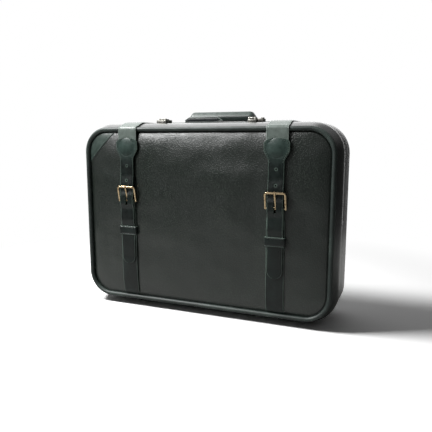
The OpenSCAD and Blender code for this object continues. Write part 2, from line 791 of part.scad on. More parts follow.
module hasp(side) color(nickel) lock_place(side) {
    difference() {
        union() {
            translate([0, hasp_axis_y, hasp_axis_z]) along_x(hasp_mid) circle(hasp_knuckle_r);
            translate([-hasp_mid / 2, hasp_axis_y, lock_h + play])
                cube([hasp_mid, notch_d - hasp_axis_y, hasp_t]);
        }
        translate([0, hasp_axis_y, hasp_axis_z]) along_x(2 * hasp_mid) circle(hasp_pin_r + pin_gap);
    }
    translate([-hasp_w / 2, hasp_axis_y + hasp_neck, lock_h + play])
        cube([hasp_w, notch_d - hasp_axis_y - hasp_neck, hasp_t]);
    difference() {
        translate([-staple_w / 2, bolt_y - staple_l / 2, lock_floor + staple_gap])
            cube([staple_w, staple_l, lock_h + play - lock_floor - staple_gap + eps]);
        translate([0, bolt_y, bolt_z]) along_x(2 * staple_w) circle(bolt_r + play);
    }
}

// Hinges under the parting line, with five knuckles on one pin

hinge_z = crest_bottom - knuckle_r - play;
knuckles = 5;
knuckle_l = hinge_len / knuckles;

module hinge_leaf(side, own) {
    clear = knuckle_r + play;
    for (x = [-1, 1]) translate([x * hinge_x, 0, 0]) difference() {
        union() {
            translate([-hinge_len / 2, side > 0 ? clear : -leaf_reach, crest_bottom - leaf_t])
                cube([hinge_len, leaf_reach - clear, leaf_t]);
            for (i = own) translate([(i - (knuckles - 1) / 2) * knuckle_l, 0, 0]) {
                translate([0, 0, hinge_z]) along_x(knuckle_l - play) circle(knuckle_r);
                translate([-(knuckle_l - play) / 2, side > 0 ? 0 : -2 * clear, crest_bottom - leaf_t])
                    cube([knuckle_l - play, 2 * clear, leaf_t]);
            }
        }
        translate([0, 0, hinge_z]) along_x(2 * hinge_len) circle(pin_r + pin_gap);
    }
}

module hinge_body_leaves() color(steel) hinge_leaf(1, [0, 2, 4]);
module hinge_lid_leaves() color(steel) hinge_leaf(-1, [1, 3]);
module hinge_pins() color(steel)
    for (x = [-1, 1]) translate([x * hinge_x, 0, hinge_z]) along_x(hinge_len) circle(pin_r);

// Middle of the whole depth, from the prongs' tips to the straps on the back
front_reach = heel_y - prong_len * sin(prong_tilt) - prong_t / 2 * cos(prong_tilt);
rear_reach = back_y(face_mid) + strap_t;
module placed() translate([0, -(front_reach + rear_reach) / 2, 0]) children();
module left() translate([-strap_x, 0, 0]) children();
module right() translate([strap_x, 0, 0]) children();

placed() body_shell();
placed() body_lining();
placed() valance();
placed() rear_panel();
placed() rear_piping();
placed() handle_board();
placed() handle_socket(-1);  // handle_socket_left
placed() handle_socket(1);  // handle_socket_right
placed() handle_cover(-1);  // handle_cover_left
placed() handle_cover(1);  // handle_cover_right
placed() body_feet();
placed() left() back_strap();  // back_strap_left
placed() right() back_strap();  // back_strap_right
placed() lock_case(-1);  // lock_case_left
placed() lock_case(1);  // lock_case_right
placed() hinge_body_leaves();
placed() hinge_pins();
placed() lid_shell();
placed() lid_lining();
placed() front_panel();
placed() front_piping();
placed() corner_patch();
placed() left() strap_band();  // strap_band_left
placed() right() strap_band();  // strap_band_right
placed() left() billet();  // billet_left
placed() right() billet();  // billet_right
placed() left() buckle_strap();  // buckle_strap_left
placed() right() buckle_strap();  // buckle_strap_right
placed() left() keeper();  // keeper_left
placed() right() keeper();  // keeper_right
placed() lid_feet();
placed() hasp_base(-1);  // hasp_base_left
placed() hasp_base(1);  // hasp_base_right
placed() hinge_lid_leaves();
placed() left() buckle_frame();  // buckle_frame_left
placed() right() buckle_frame();  // buckle_frame_right
placed() left() prong();  // prong_left
placed() right() prong();  // prong_right
placed() hasp(-1);  // hasp_left
placed() hasp(1);  // hasp_right
placed() lock_slider(-1);  // lock_slider_left
placed() lock_slider(1);  // lock_slider_right
placed() handle_grip();
placed() handle_tongue(-1);  // handle_tongue_left
placed() handle_tongue(1);  // handle_tongue_right
placed() handle_tag();
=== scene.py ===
import bmesh
import bpy
import numpy as np
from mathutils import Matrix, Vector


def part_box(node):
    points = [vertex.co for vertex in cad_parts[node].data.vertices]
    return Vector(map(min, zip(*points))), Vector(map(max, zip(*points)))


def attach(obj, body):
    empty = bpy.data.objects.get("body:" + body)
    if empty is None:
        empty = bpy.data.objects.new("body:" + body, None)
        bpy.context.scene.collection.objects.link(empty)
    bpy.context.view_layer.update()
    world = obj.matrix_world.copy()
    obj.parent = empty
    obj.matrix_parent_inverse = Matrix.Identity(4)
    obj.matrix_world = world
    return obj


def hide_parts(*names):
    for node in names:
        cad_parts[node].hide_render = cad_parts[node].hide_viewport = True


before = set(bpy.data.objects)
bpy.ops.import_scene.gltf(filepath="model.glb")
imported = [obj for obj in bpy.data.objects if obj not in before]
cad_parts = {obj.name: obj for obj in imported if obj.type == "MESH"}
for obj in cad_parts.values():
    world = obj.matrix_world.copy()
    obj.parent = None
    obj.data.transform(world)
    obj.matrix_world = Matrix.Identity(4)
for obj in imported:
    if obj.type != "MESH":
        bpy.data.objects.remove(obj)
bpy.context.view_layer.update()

# Body half of the case
# A deep tray of fibreboard with steam-bent round corners, covered in grained leathercloth.
# Its walls swell outwards from the rear piping to a flat land beside the parting line.

# Sizes are in millimetres. Depth is counted from the parting line, height from the floor.
parting_y = 1000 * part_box("body_shell")[0].y
case_mid = 218.5
rim_w, rim_h, rim_r = 590.0, 405.0, 58.0
flare = 9.0
wall_t = 4.0
body_land, body_plate_y = 67.0, 89.0


def linear(code):
    """An sRGB hex colour as linear red, green, blue and alpha, by the sRGB curve."""
    c = np.array([int(code[i:i + 2], 16) for i in (1, 3, 5)]) / 255
    return (*np.where(c <= 0.04045, c / 12.92, ((c + 0.055) / 1.055) ** 2.4), 1.0)


def put(tree, kind, sockets=(), **settings):
    """Adds one node with its settings, or takes one that is there. Each named socket gets a value, or a link
    from another node's socket or from its first output in use."""
    node = tree.nodes.new("ShaderNode" + kind) if isinstance(kind, str) else kind
    for key, value in settings.items():
        setattr(node, key, value)
    for key, value in dict(sockets).items():
        if isinstance(value, bpy.types.Node):
            value = next(out for out in value.outputs if out.enabled)
        if isinstance(value, bpy.types.NodeSocket):
            tree.links.new(value, node.inputs[key])
        else:
            node.inputs[key].default_value = value
    return node


def start_material(name):
    """Starts a material, and gives it, its node tree, its shader and the piece's own coordinates."""
    material = bpy.data.materials.new(name)
    material.use_nodes = True
    tree = material.node_tree
    return material, tree, tree.nodes["Principled BSDF"], put(tree, "TexCoord").outputs["Object"]


def leathercloth(name, ground, worn, pebble, press, polish, slack):
    """Calendered leathercloth: a pebble grain is pressed into the face, so the pebbles' tops
    wear paler and smoother than the creases between them. pebble is the grain's size and press
    its depth in mm, slack the depth in mm of the slow hollows where the cloth isn't drawn tight."""
    material, tree, shader, spot = start_material(name)
    pebbles = put(tree, "TexVoronoi", {"Vector": spot, "Scale": 1000 / pebble, "Smoothness": 0.35},
                  feature="SMOOTH_F1")
    creases = put(tree, "TexNoise", {"Vector": spot, "Scale": 1000 / (0.45 * pebble), "Detail": 3.0})
    blotches = put(tree, "TexNoise", {"Vector": spot, "Scale": 1000 / 90, "Detail": 4.0, "Roughness": 0.6})
    tops = put(tree, "MapRange", {"Value": pebbles, "From Min": 0.55, "From Max": 0.12})
    handled = put(tree, "MapRange", {"Value": blotches, "From Min": 0.36, "From Max": 0.68})
    rubbed = put(tree, "Math", {0: tops, 1: handled}, operation="MULTIPLY")
    tone = put(tree, "Mix", {0: rubbed, 6: linear(ground), 7: linear(worn)}, data_type="RGBA")
    gloss = put(tree, "MapRange", {"Value": blotches, "From Min": 0.3, "From Max": 0.7,
                                   "To Min": polish + 0.09, "To Max": polish - 0.08})
    grain = put(tree, "Math", {0: creases, 1: 0.5, 2: tops}, operation="MULTIPLY_ADD")
    hollows = put(tree, "TexNoise", {"Vector": spot, "Scale": 1000 / 95, "Detail": 1.5, "Roughness": 0.4})
    slow = put(tree, "Bump", {"Height": hollows, "Strength": 1.0, "Distance": slack / 1000})
    relief = put(tree, "Bump", {"Height": grain, "Strength": 0.55, "Distance": press / 1000, "Normal": slow})
    put(tree, shader, {"Base Color": tone, "Roughness": gloss, "Normal": relief, "Coat Weight": 1.0,
                       "Coat Roughness": polish - 0.06, "Coat Normal": relief})
    return material


def rim_path(steps=18):
    """Stations round the case: x and z on the piping's outline and the outward direction there,
    from four quarter circles that the straight sides join."""
    quarter = np.radians(np.linspace(0, 90, steps))
    turn = np.concatenate([quarter + k * np.pi / 2 for k in range(4)])
    out = np.stack([np.cos(turn), np.sin(turn)], 1)
    signs = np.repeat([[1, 1], [-1, 1], [-1, -1], [1, -1]], steps, axis=0)
    middle = signs * [rim_w / 2 - rim_r, rim_h / 2 - rim_r] + [0, case_mid]
    return middle + rim_r * out, out


def round_case(section):
    """Carries a closed section round the case. Each section point is an offset from the piping's
    outline and a depth, so a point lies at the path plus the offset along the outward direction."""
    path, out = rim_path()
    section = np.asarray(section, float)
    flat = path[:, None, :] + section[None, :, :1] * out[:, None, :]
    depth = np.broadcast_to(section[None, :, 1], flat.shape[:2])
    return np.stack([flat[..., 0], depth, flat[..., 1]], -1)


def case_plate(inset, y0, y1, rows=40):
    """A flat board with the case's round-cornered outline, drawn in by inset: each row is a closed
    loop across the width at one height, out along the front face and back along the rear."""
    r = rim_r - inset
    half_w, half_h = rim_w / 2 - inset, rim_h / 2 - inset
    z = half_h * np.sin(np.radians(np.linspace(-89, 89, rows)))
    x = half_w - r + np.sqrt(np.maximum(0, r * r - np.maximum(0, np.abs(z) - (half_h - r)) ** 2))
    share = np.array([-1, 1, 1, -1.0])
    return np.stack([x[:, None] * share, np.broadcast_to([y0, y0, y1, y1], (rows, 4)),
                     np.broadcast_to(z[:, None] + case_mid, (rows, 4))], -1)


def place_piece(name, mesh, material, body, stands_for=(), crease=180):
    """Makes a mesh a piece: smooth but for edges over crease degrees, with its material, the body that it
    rides and the nodes that it stands for."""
    mesh.shade_smooth()
    mesh.set_sharp_from_angle(angle=np.radians(crease))
    mesh.materials.clear()
    mesh.materials.append(material)
    piece = bpy.data.objects.new(name, mesh)
    bpy.context.scene.collection.objects.link(piece)
    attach(piece, body)
    if stands_for:
        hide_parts(*stands_for)
    return piece


def make_piece(name, shells, material, body, stands_for=(), crease=38):
    """Joins closed shells into one mesh. A shell is a grid whose rows follow a path and whose columns
    run round a section, and a flag for a path that closes. Other paths get a flat face at each end.
    A shell whose enclosed volume comes out negative is turned, so that its faces point outwards."""
    points, faces, start = [], [], 0
    for grid, closed in shells:
        index = np.arange(grid.shape[0] * grid.shape[1]).reshape(grid.shape[:2])
        near = index if closed else index[:-1]
        far = np.roll(index, -1, 0) if closed else index[1:]
        quads = np.stack([near, np.roll(near, -1, 1), np.roll(far, -1, 1), far], -1).reshape(-1, 4)
        ends = [] if closed else [index[0][::-1], index[-1]]
        flat = grid.reshape(-1, 3)
        fans = [np.stack([np.full(len(e) - 2, e[0]), e[1:-1], e[2:]], -1) for e in ends]
        corners = flat[np.concatenate([quads[:, [0, 1, 2]], quads[:, [0, 2, 3]], *fans])] - flat.mean(0)
        volume = np.einsum("ij,ij->", corners[:, 0], np.cross(corners[:, 1], corners[:, 2]))
        flip = slice(None, None, -1 if volume < 0 else 1)
        faces += (quads[:, flip] + start).tolist() + [(e[flip] + start).tolist() for e in ends]
        points.append(flat)
        start += len(flat)
    mesh = bpy.data.meshes.new(name)
    mesh.from_pydata(((np.concatenate(points) + [0, parting_y, 0]) / 1000).tolist(), [], faces)
    return place_piece(name, mesh, material, body, stands_for, crease)


def wall_u(y, plate, land):
    """Flare of a wall at a depth, a quarter sine from its plate to its land."""
    return flare * np.sin(np.clip((y - plate) / (land - plate), 0, 1) * np.pi / 2)


def wall_profile(plate, land):
    """Section of a wall: from the piping the outer face flares out, runs flat along its land and rolls over a
    small radius at the parting line. The inner face lies the wall's thickness inside."""
    depth = np.linspace(plate, land, 20)
    u = wall_u(depth, plate, land)
    a = np.radians(np.linspace(0, 90, 6))
    lip = 1.3
    way = np.sign(land - plate)
    roll_u, roll_y = flare - lip + lip * np.cos(a), way * lip * (np.sin(a) - 1)
    outer = np.stack([np.append(u, roll_u), np.append(depth, roll_y)], 1)
    inner = np.stack([np.append(u, flare) - wall_t, np.append(depth, 0.0)], 1)
    return np.concatenate([outer, inner[::-1]])


wall_cloth = leathercloth("wall_leathercloth", "#101714", "#212b26", 2.4, 0.16, 0.33, 1.5)
make_piece("body_case", [(round_case(wall_profile(body_plate_y, body_land)), True),
                         (case_plate(0.5 * wall_t, body_plate_y - wall_t, body_plate_y), False)],
           wall_cloth, "case_body", ["body_shell"])

# Lid half of the case
# A shallow tray of the same covered fibreboard, which carries the padded face, the straps and the
# buckles. It hangs on two butt hinges at the bottom of the parting line.

lid_land, lid_plate_y = -14.0, -43.0
make_piece("lid_case", [(round_case(wall_profile(lid_plate_y, lid_land)), True),
                        (case_plate(0.5 * wall_t, lid_plate_y, lid_plate_y + wall_t), False)],
           wall_cloth, "lid", ["lid_shell"])

# Lining trays
# Thin card trays covered in woven rayon, pressed into both halves and glued. The weave shows as a fine
# checked sheen, and the cloth is drawn over the edges at the mouth.

lining_t, lining_in, mouth_gap = 1.2, 4.3, 1.0


def rayon_lining(name, warp, weft, thread):
    """Plain-woven rayon: two thread directions cross as two sets of fine bands, and the smooth yarn gives
    the cloth a soft sheen. thread is the spacing in mm, drawn coarser than life so that it shows."""
    material, tree, shader, spot = start_material(name)
    waves = [put(tree, "TexWave", {"Vector": spot, "Scale": 1000 / thread / 20 * np.pi, "Distortion": 0.4,
                                   "Detail": 1.0}, bands_direction=way).outputs["Fac"] for way in "XZ"]
    cross = put(tree, "Math", {0: waves[0], 1: waves[1]}, operation="MULTIPLY")
    slubs = put(tree, "TexNoise", {"Vector": spot, "Scale": 1000 / 18, "Detail": 5.0})
    mixed = put(tree, "Math", {0: slubs, 1: 0.55, 2: cross}, operation="MULTIPLY_ADD")
    tone = put(tree, "Mix", {0: mixed, 6: linear(weft), 7: linear(warp)}, data_type="RGBA")
    relief = put(tree, "Bump", {"Height": mixed, "Strength": 0.5, "Distance": 0.0003})
    put(tree, shader, {"Base Color": tone, "Normal": relief, "Roughness": 0.62, "Sheen Weight": 0.25})
    return material


def tray_profile(plate, land, way):
    """Section of a lining tray: it follows the wall lining_in inside it and stops short of the parting line.
    way is the direction in depth from the plate to the mouth."""
    depth = np.linspace(plate + way * lining_in, land, 16)
    u = wall_u(depth, plate, land) - lining_in
    outer = np.stack([np.append(u, u[-1]), np.append(depth, -way * mouth_gap)], 1)
    return np.concatenate([outer, outer[::-1] - [lining_t, 0]])


rayon = rayon_lining("rayon_lining", "#9a8562", "#6d5b40", 1.6)
for half, body, plate, land in (("lid", "lid", lid_plate_y, lid_land),
                                ("body", "case_body", body_plate_y, body_land)):
    way = np.sign(land - plate)
    floor_y = plate + way * lining_in
    edge_u = wall_u(floor_y, plate, land) - lining_in - 0.5 * lining_t
    make_piece(half + "_tray", [(round_case(tray_profile(plate, land, way)), True),
                                (case_plate(-edge_u, floor_y, floor_y + way * lining_t), False)],
               rayon, body, [half + "_lining"])

# Padded front and rear panels
# Board, a thin felt padding and grained leathercloth drawn over it and glued down in the groove beside
# the piping. The padding gives each panel a low crown, a rolled edge and a faint unevenness.

panel_w, panel_h, panel_r = 567.0, 382.0, 46.5
front_edge_y, front_crown, front_seed = -49.0, 6.0, 7
rear_edge_y, rear_crown, rear_seed = 95.0, 4.0, 11
rim_drop, rim_width, dip_depth = 5.0, 45.0, 1.4


def crown_share(x, z):
    """Share of the crown: one at the panel's middle, falling with the fourth power towards each edge."""
    side, rise = np.abs(2 * x / panel_w), np.abs(2 * (z - case_mid) / panel_h)
    return (1 - np.minimum(1, side) ** 4) * (1 - np.minimum(1, rise) ** 4)


def front_y(x, z):
    """Depth of the front panel's face."""
    return front_edge_y - front_crown * crown_share(x, z)


def edge_distance(x, z):
    """Distance in mm from a point on the panel in to its round-cornered outline."""
    qx = np.abs(x) - (panel_w / 2 - panel_r)
    qz = np.abs(z - case_mid) - (panel_h / 2 - panel_r)
    return panel_r - np.hypot(np.maximum(qx, 0), np.maximum(qz, 0)) - np.minimum(np.maximum(qx, qz), 0)


def unevenness(x, z, seed):
    """Low hollows in the padding, 0 to 1: a sum of slow sine waves in directions from a fixed seed."""
    rng = np.random.default_rng(seed)
    total = np.zeros_like(x)
    for length in (210.0, 170.0, 130.0, 100.0, 76.0, 62.0, 50.0, 42.0, 36.0):
        way, phase = rng.uniform(0, 2 * np.pi, 2)
        run = x * np.cos(way) + z * np.sin(way)
        total += (length / 210) ** 0.8 * np.sin(2 * np.pi * run / length + phase)
    return 0.5 + 0.5 * np.clip(total / 2.8, -1, 1)


def rim_fall(inward):
    """How far the padding falls away at a distance in from the rim, along a quarter ellipse."""
    return rim_drop * (1 - np.sqrt(np.maximum(0, 1 - (1 - np.clip(inward / rim_width, 0, 1)) ** 2)))


def padded_face(x, z, edge, crown, out, seed):
    """Depth of a padded face: its crown, less the fall at the rim, less the dips where the padding is thin,
    which fade out towards the rim."""
    inward = edge_distance(x, z)
    dip = dip_depth * np.clip(inward / rim_width, 0, 1) * unevenness(x, z, seed)
    return edge + out * (crown * crown_share(x, z) - rim_fall(inward) - dip)


def padded_panel(edge, crown, board, seed):
    """A panel as rows across its width: each row runs over the padded face and back along the flat board."""
    side = np.radians(np.linspace(-90, 0, 14))
    low = -panel_h / 2 + panel_r + panel_r * np.sin(side)
    z = np.concatenate([low, np.linspace(low[-1], -low[-1], 90)[1:-1], -low[::-1]])
    past = np.maximum(0, np.abs(z) - panel_h / 2 + panel_r)
    half = panel_w / 2 - panel_r + np.sqrt(np.maximum(0, panel_r ** 2 - past ** 2))
    share = np.linspace(-1, 1, 181)
    share = np.sign(share) * (1 - (1 - np.abs(share)) ** 1.18)
    x = half[:, None] * share
    height = np.broadcast_to(z[:, None] + case_mid, x.shape)
    front = np.stack([x, padded_face(x, height, edge, crown, np.sign(edge - board), seed), height], -1)
    back = np.stack([x, np.full_like(x, board), height], -1)
    return np.concatenate([front, back[:, ::-1]], 1)


panel_cloth = leathercloth("panel_leathercloth", "#0f1813", "#28342a", 2.8, 0.35, 0.38, 9.0)
front_grid = padded_panel(front_edge_y, front_crown, lid_plate_y, front_seed)
front = make_piece("front_padding", [(front_grid, False)], panel_cloth,
                   "lid", ["front_panel"])
rear_grid = padded_panel(rear_edge_y, rear_crown, body_plate_y, rear_seed)
rear = make_piece("rear_padding", [(rear_grid, False)], panel_cloth,
                  "case_body", ["rear_panel"])

# Piping round both faces
# A cord wrapped in smooth leathercloth and glued along the rim of each half, with a narrow seam where
# the wrapping meets the wall. It takes the knocks, so it is rubbed paler in places.

piping_w, piping_base = 10.0, 4.0


def piping_cover(name):
    """Smooth leathercloth pulled tight over cord: shallow pull lines, with patches rubbed paler."""
    material, tree, shader, spot = start_material(name)
    pulls = put(tree, "TexNoise", {"Vector": spot, "Scale": 1000 / 6, "Detail": 4.0, "Distortion": 0.3})
    rubs = put(tree, "TexNoise", {"Vector": spot, "Scale": 1000 / 55, "Detail": 5.0, "Roughness": 0.65})
    worn = put(tree, "MapRange", {"Value": rubs, "From Min": 0.48, "From Max": 0.75})
    tone = put(tree, "Mix", {0: worn, 6: linear("#1e2825"), 7: linear("#3e4a45")}, data_type="RGBA")
    gloss = put(tree, "MapRange", {"Value": rubs, "To Min": 0.62, "To Max": 0.46})
    relief = put(tree, "Bump", {"Height": pulls, "Strength": 0.25, "Distance": 0.0002})
    put(tree, shader, {"Base Color": tone, "Roughness": gloss, "Normal": relief, "Coat Weight": 0.2,
                       "Coat Roughness": 0.4})
    return material


def piping_profile(plate, way):
    """Section of the piping: a flat foot on the plate, straight sides and a half-round crest, with a small
    nick at the foot of the outer side where the wrapping is tucked in."""
    a = np.radians(np.linspace(0, 180, 20))
    u = np.concatenate([[-0.6, -0.6, 0.0], -piping_w / 2 + piping_w / 2 * np.cos(a), [-piping_w, -piping_w]])
    y = np.concatenate([[0.05, 0.7, 1.4], piping_base + piping_w / 2 * np.sin(a), [0.7, 0.05]])
    return np.stack([u, plate + way * y], 1)


piped = piping_cover("piping_leathercloth")
make_piece("front_cord", [(round_case(piping_profile(lid_plate_y, -1)), True)],
           piped, "lid", ["front_piping"])
make_piece("rear_cord", [(round_case(piping_profile(body_plate_y, 1)), True)],
           piped, "case_body", ["rear_piping"])

# Straps over the top and down the back
# Two-ply bridle leather, creased 3 mm inside each edge and glued and sewn to the walls. The front
# bands run up from under the billet heads to the parting line, the back straps on from there.

strap_x, strap_t, band_half = 176.0, 2.5, 23.5
sides = (("left", -strap_x), ("right", strap_x))
# The straps lie a film of glue off the case. Leather away from its edges is marked as uncut mm from them.
glue, strap_foot, uncut = 0.3, 27.5, 9.0
rim_top = case_mid + rim_h / 2
crest = piping_base + piping_w / 2


def strap_leather(name, ground, worn, edge_wear_and_light_tone, top_light, low, high):
    """Waxed bridle leather: fine pores and faint stretch lines under a soft polish. The mesh's edge attribute
    gives the distance in mm from a cut edge, where the edge colour goes on in patches: wear, with a painted
    highlight where that colour is pale and a painted shadow line where it is dark. From the height low, in
    metres, and fully from high on, the colour goes over to a top colour, painted light from above where it is
    paler."""
    material, tree, shader, spot = start_material(name)
    inset = put(tree, "Attribute", attribute_name="edge").outputs["Fac"]
    pores = put(tree, "TexVoronoi", {"Vector": spot, "Scale": 1000 / 1.3}, feature="F1")
    stretch = put(tree, "TexNoise", {"Vector": spot, "Scale": 1000 / 9, "Detail": 6.0, "Roughness": 0.62})
    handling = put(tree, "TexNoise", {"Vector": spot, "Scale": 1000 / 45, "Detail": 3.0})
    rub = put(tree, "MapRange", {"Value": handling, "From Min": 0.42, "From Max": 0.72})
    body = put(tree, "Mix", {0: rub, 6: linear(ground), 7: linear(worn)}, data_type="RGBA")
    # Above the height low the colour goes over to the top colour: painted light from above on the upper
    # parts.
    height = put(tree, "SeparateXYZ", {0: spot}).outputs["Z"]
    reach = put(tree, "MapRange", {"Value": height, "From Min": low, "From Max": high},
                interpolation_type="SMOOTHSTEP")
    lit_from_above = put(tree, "Mix", {0: reach, 6: body, 7: linear(top_light)}, data_type="RGBA")
    mottle = put(tree, "MapRange", {"Value": stretch, "From Min": 0.3, "From Max": 0.75,
                                    "To Min": 0.72, "To Max": 1.18})
    toned = put(tree, "VectorMath", {0: lit_from_above, "Scale": mottle}, operation="SCALE")
    # Near a cut edge the edge colour goes on in patches: wear, a painted highlight where that colour is pale,
    # a painted shadow line where it is dark.
    rim = put(tree, "MapRange", {"Value": inset, "From Min": 2.0, "From Max": 0.6})
    chafed = put(tree, "MapRange", {"Value": handling, "From Min": 0.3, "From Max": 0.6, "To Min": 0.3})
    edge_wear_and_light_share = put(tree, "Math", {0: rim, 1: chafed}, operation="MULTIPLY")
    edged = put(tree, "Mix", {0: edge_wear_and_light_share, 6: toned, 7: linear(edge_wear_and_light_tone)}, data_type="RGBA")
    gloss = put(tree, "MapRange", {"Value": stretch, "From Min": 0.25, "From Max": 0.75,
                                   "To Min": 0.26, "To Max": 0.42})
    grain = put(tree, "Math", {0: pores, 1: 0.6, 2: stretch}, operation="MULTIPLY_ADD")
    relief = put(tree, "Bump", {"Height": grain, "Strength": 0.4, "Distance": 0.0003})
    put(tree, shader, {"Base Color": edged, "Roughness": gloss, "Normal": relief})
    return material


def strap_y(z):
    """Depth that the front straps lie at: just off the panel's crown, and off the piping above the middle."""
    y = front_y(np.full_like(z, strap_x - band_half), z) - glue
    above = np.minimum(y, lid_plate_y - crest - glue)
    return np.where(z > case_mid, above, y + rim_fall(z - case_mid + panel_h / 2))


def back_y(z):
    """Depth that the back straps lie at, found in the same way on the rear panel."""
    y = rear_edge_y + rear_crown * crown_share(np.full_like(z, strap_x - band_half), z) + glue
    return np.where(z > case_mid, np.maximum(y, body_plate_y + crest + glue), y)


def running_length(line):
    """Length along a polyline up to each of its points."""
    return np.concatenate([[0], np.cumsum(np.linalg.norm(np.diff(line, axis=0), axis=1))])


def resample(line, pitch):
    """Points at an even pitch in mm along a polyline, by its running length."""
    run = running_length(line)
    at = np.linspace(0, run[-1], int(run[-1] / pitch) + 2)
    return np.stack([np.interp(at, run, line[:, k]) for k in range(line.shape[1])], 1)


def lay_strap(line, out, half, thick):
    """A strap as rows along its path. Each row runs over the outer face and back along the inner one, both
    with round edges and a pressed crease. line holds depth and height of the inner face, out the direction
    of the outer face, half the half width and thick the thickness at each station. Where a strap is narrow,
    its edges shrink with it."""
    inset = np.array([0.0, 0.12, 0.45, 1.0, 1.7, 2.6, 3.0, 3.4, 4.4])
    sink = np.array([1.12, 0.62, 0.2, 0.03, 0.0, 0.0, 0.3, 0.0, 0.0])
    flat = 15
    half, thick = [np.broadcast_to(v, len(line))[:, None] for v in (half, thick)]
    shrink = np.minimum(1, half / uncut)
    side = half - inset * shrink
    middle = np.linspace(-1, 1, flat + 2)[1:-1] * side[:, -1:]
    x = np.concatenate([-side, middle, side[:, ::-1]], 1)
    drop = np.concatenate([sink, np.zeros(flat), sink[::-1]]) * thick / strap_t
    across = np.concatenate([x, x[:, ::-1]], 1)
    height = np.concatenate([thick - drop, drop], 1)
    grid = np.stack([across, line[:, :1] + out[:, :1] * height, line[:, 1:] + out[:, 1:] * height], -1)
    rim = np.concatenate([inset, np.full(flat, uncut), inset[::-1]])
    return grid, np.concatenate([rim, rim]) * shrink


def left_of(line):
    """Unit directions to the left of a path, from the slope between its neighbouring points."""
    way = np.gradient(line, axis=0)
    way /= np.hypot(way[:, :1], way[:, 1:])
    return np.stack([-way[:, 1], way[:, 0]], 1)


def arc(middle, radius, start, end, steps=12):
    """Points on a circular arc in depth and height, with angles in degrees from the depth axis."""
    a = np.radians(np.linspace(start, end, steps))
    return np.stack([middle[0] + radius * np.cos(a), middle[1] + radius * np.sin(a)], 1)


def leather_piece(name, grid, rim, hide, body, node, crease=38):
    """One piece of strap leather. Its mesh keeps each point's distance from a cut edge, which rim gives."""
    piece = make_piece(name, [(grid, False)], hide, body, [node], crease)
    edge = piece.data.attributes.new("edge", "FLOAT", "POINT")
    edge.data.foreach_set("value", np.ravel(rim).astype(np.float32))
    return piece


# Above 0.33 m the billets' leather is painted paler, a painted highlight on their heads. The bands are
# painted paler from 0.30 m up, light from above as they go over the top. Both have pale edge colours, partly
# wear and partly painted edge highlights.
strap_hide = strap_leather("bridle_leather", "#0a1210", "#16221f", "#56655d", "#384843", 0.33, 0.385)
band_hide = strap_leather("top_lit_band_leather", "#0f1916", "#1d2b27", "#8f9993", "#78837d", 0.30, 0.44)
band_top = np.linspace(lid_plate_y, -glue, 24)
band_rise = rim_top + glue + wall_u(band_top, lid_plate_y, lid_land)
band_bend = arc((lid_plate_y - piping_base, rim_top - piping_w / 2), piping_w / 2 + glue, 180, 90)
band_line = resample(np.concatenate([[[lid_plate_y - crest - glue, 379.0]], band_bend,
                                     np.stack([band_top, band_rise], 1)[1:]]), 1.6)
band_grid, band_rim = lay_strap(band_line, left_of(band_line), band_half, strap_t)
back_top = np.linspace(glue, body_plate_y, 30)
back_rise = rim_top + glue + wall_u(back_top, body_plate_y, body_land)
back_bend = arc((body_plate_y + piping_base, rim_top - piping_w / 2), piping_w / 2 + glue, 90, 0)
back_z = np.linspace(411.0, strap_foot, 60)
back_line = resample(np.concatenate([np.stack([back_top, back_rise], 1), back_bend[1:],
                                     np.stack([back_y(back_z), back_z], 1)[1:]]), 2.2)
back_grid, back_rim = lay_strap(back_line, left_of(back_line), band_half, strap_t)
for side, at in sides:
    leather_piece("front_band_" + side, band_grid + [at, 0, 0], band_rim, band_hide,
                  "lid", "strap_band_" + side)
    leather_piece("rear_band_" + side, back_grid + [at, 0, 0], back_rim, band_hide,
                  "case_body", "back_strap_" + side)

# Buckle straps
# A strip of the same leather, sewn in at the bottom groove. Its skived end is folded forward round the
# buckle's heel bar, sewn down on the strap's face, and slotted for the prong.

heel_z, heel_out, heel_room = 254.0, 4.3, 1.8
fold_foot, fold_end, fold_out = 236.0, 210.0, 2.55
chape_half, chape_root_half, chape_t, slot_half = 18.0, 20.0, 2.0, 2.8


def cut_out(piece, cutters, overlapping=False):
    """Cuts shapes out of a piece with an exact boolean and keeps the result as its mesh. With overlapping,
    shells that overlap within the piece are joined as well."""
    for grid in cutters:
        tool = make_piece("cutter", [(grid, False)], piece.data.materials[0], "lid")
        cut = piece.modifiers.new("cut", "BOOLEAN")
        cut.operation, cut.solver, cut.use_self, cut.object = "DIFFERENCE", "EXACT", overlapping, tool
        done = bpy.data.meshes.new_from_object(piece.evaluated_get(bpy.context.evaluated_depsgraph_get()))
        piece.modifiers.clear()
        piece.data = done
        bpy.data.objects.remove(tool)
    piece.data.shade_smooth()
    piece.data.set_sharp_from_angle(angle=np.radians(38))


def block(at, half, depth, height):
    """A cutting block for slots, half mm to each side of a place, as a grid of two rows."""
    ring = np.array([[at + way * half, depth[k]] for way, k in ((-1, 0), (1, 0), (1, 1), (-1, 1))])
    return np.stack([np.column_stack([ring, np.full(4, z)]) for z in height])


def rod(at, half, y, z, radius, steps=24):
    """A round bar along the width, half mm to each side of a place, for holes and for the heel bar."""
    a = np.linspace(0, 2 * np.pi, steps, endpoint=False)
    ring = np.stack([y + radius * np.cos(a), z + radius * np.sin(a)], 1)
    return np.stack([np.column_stack([np.full(steps, x), ring]) for x in (at - half, at + half)])


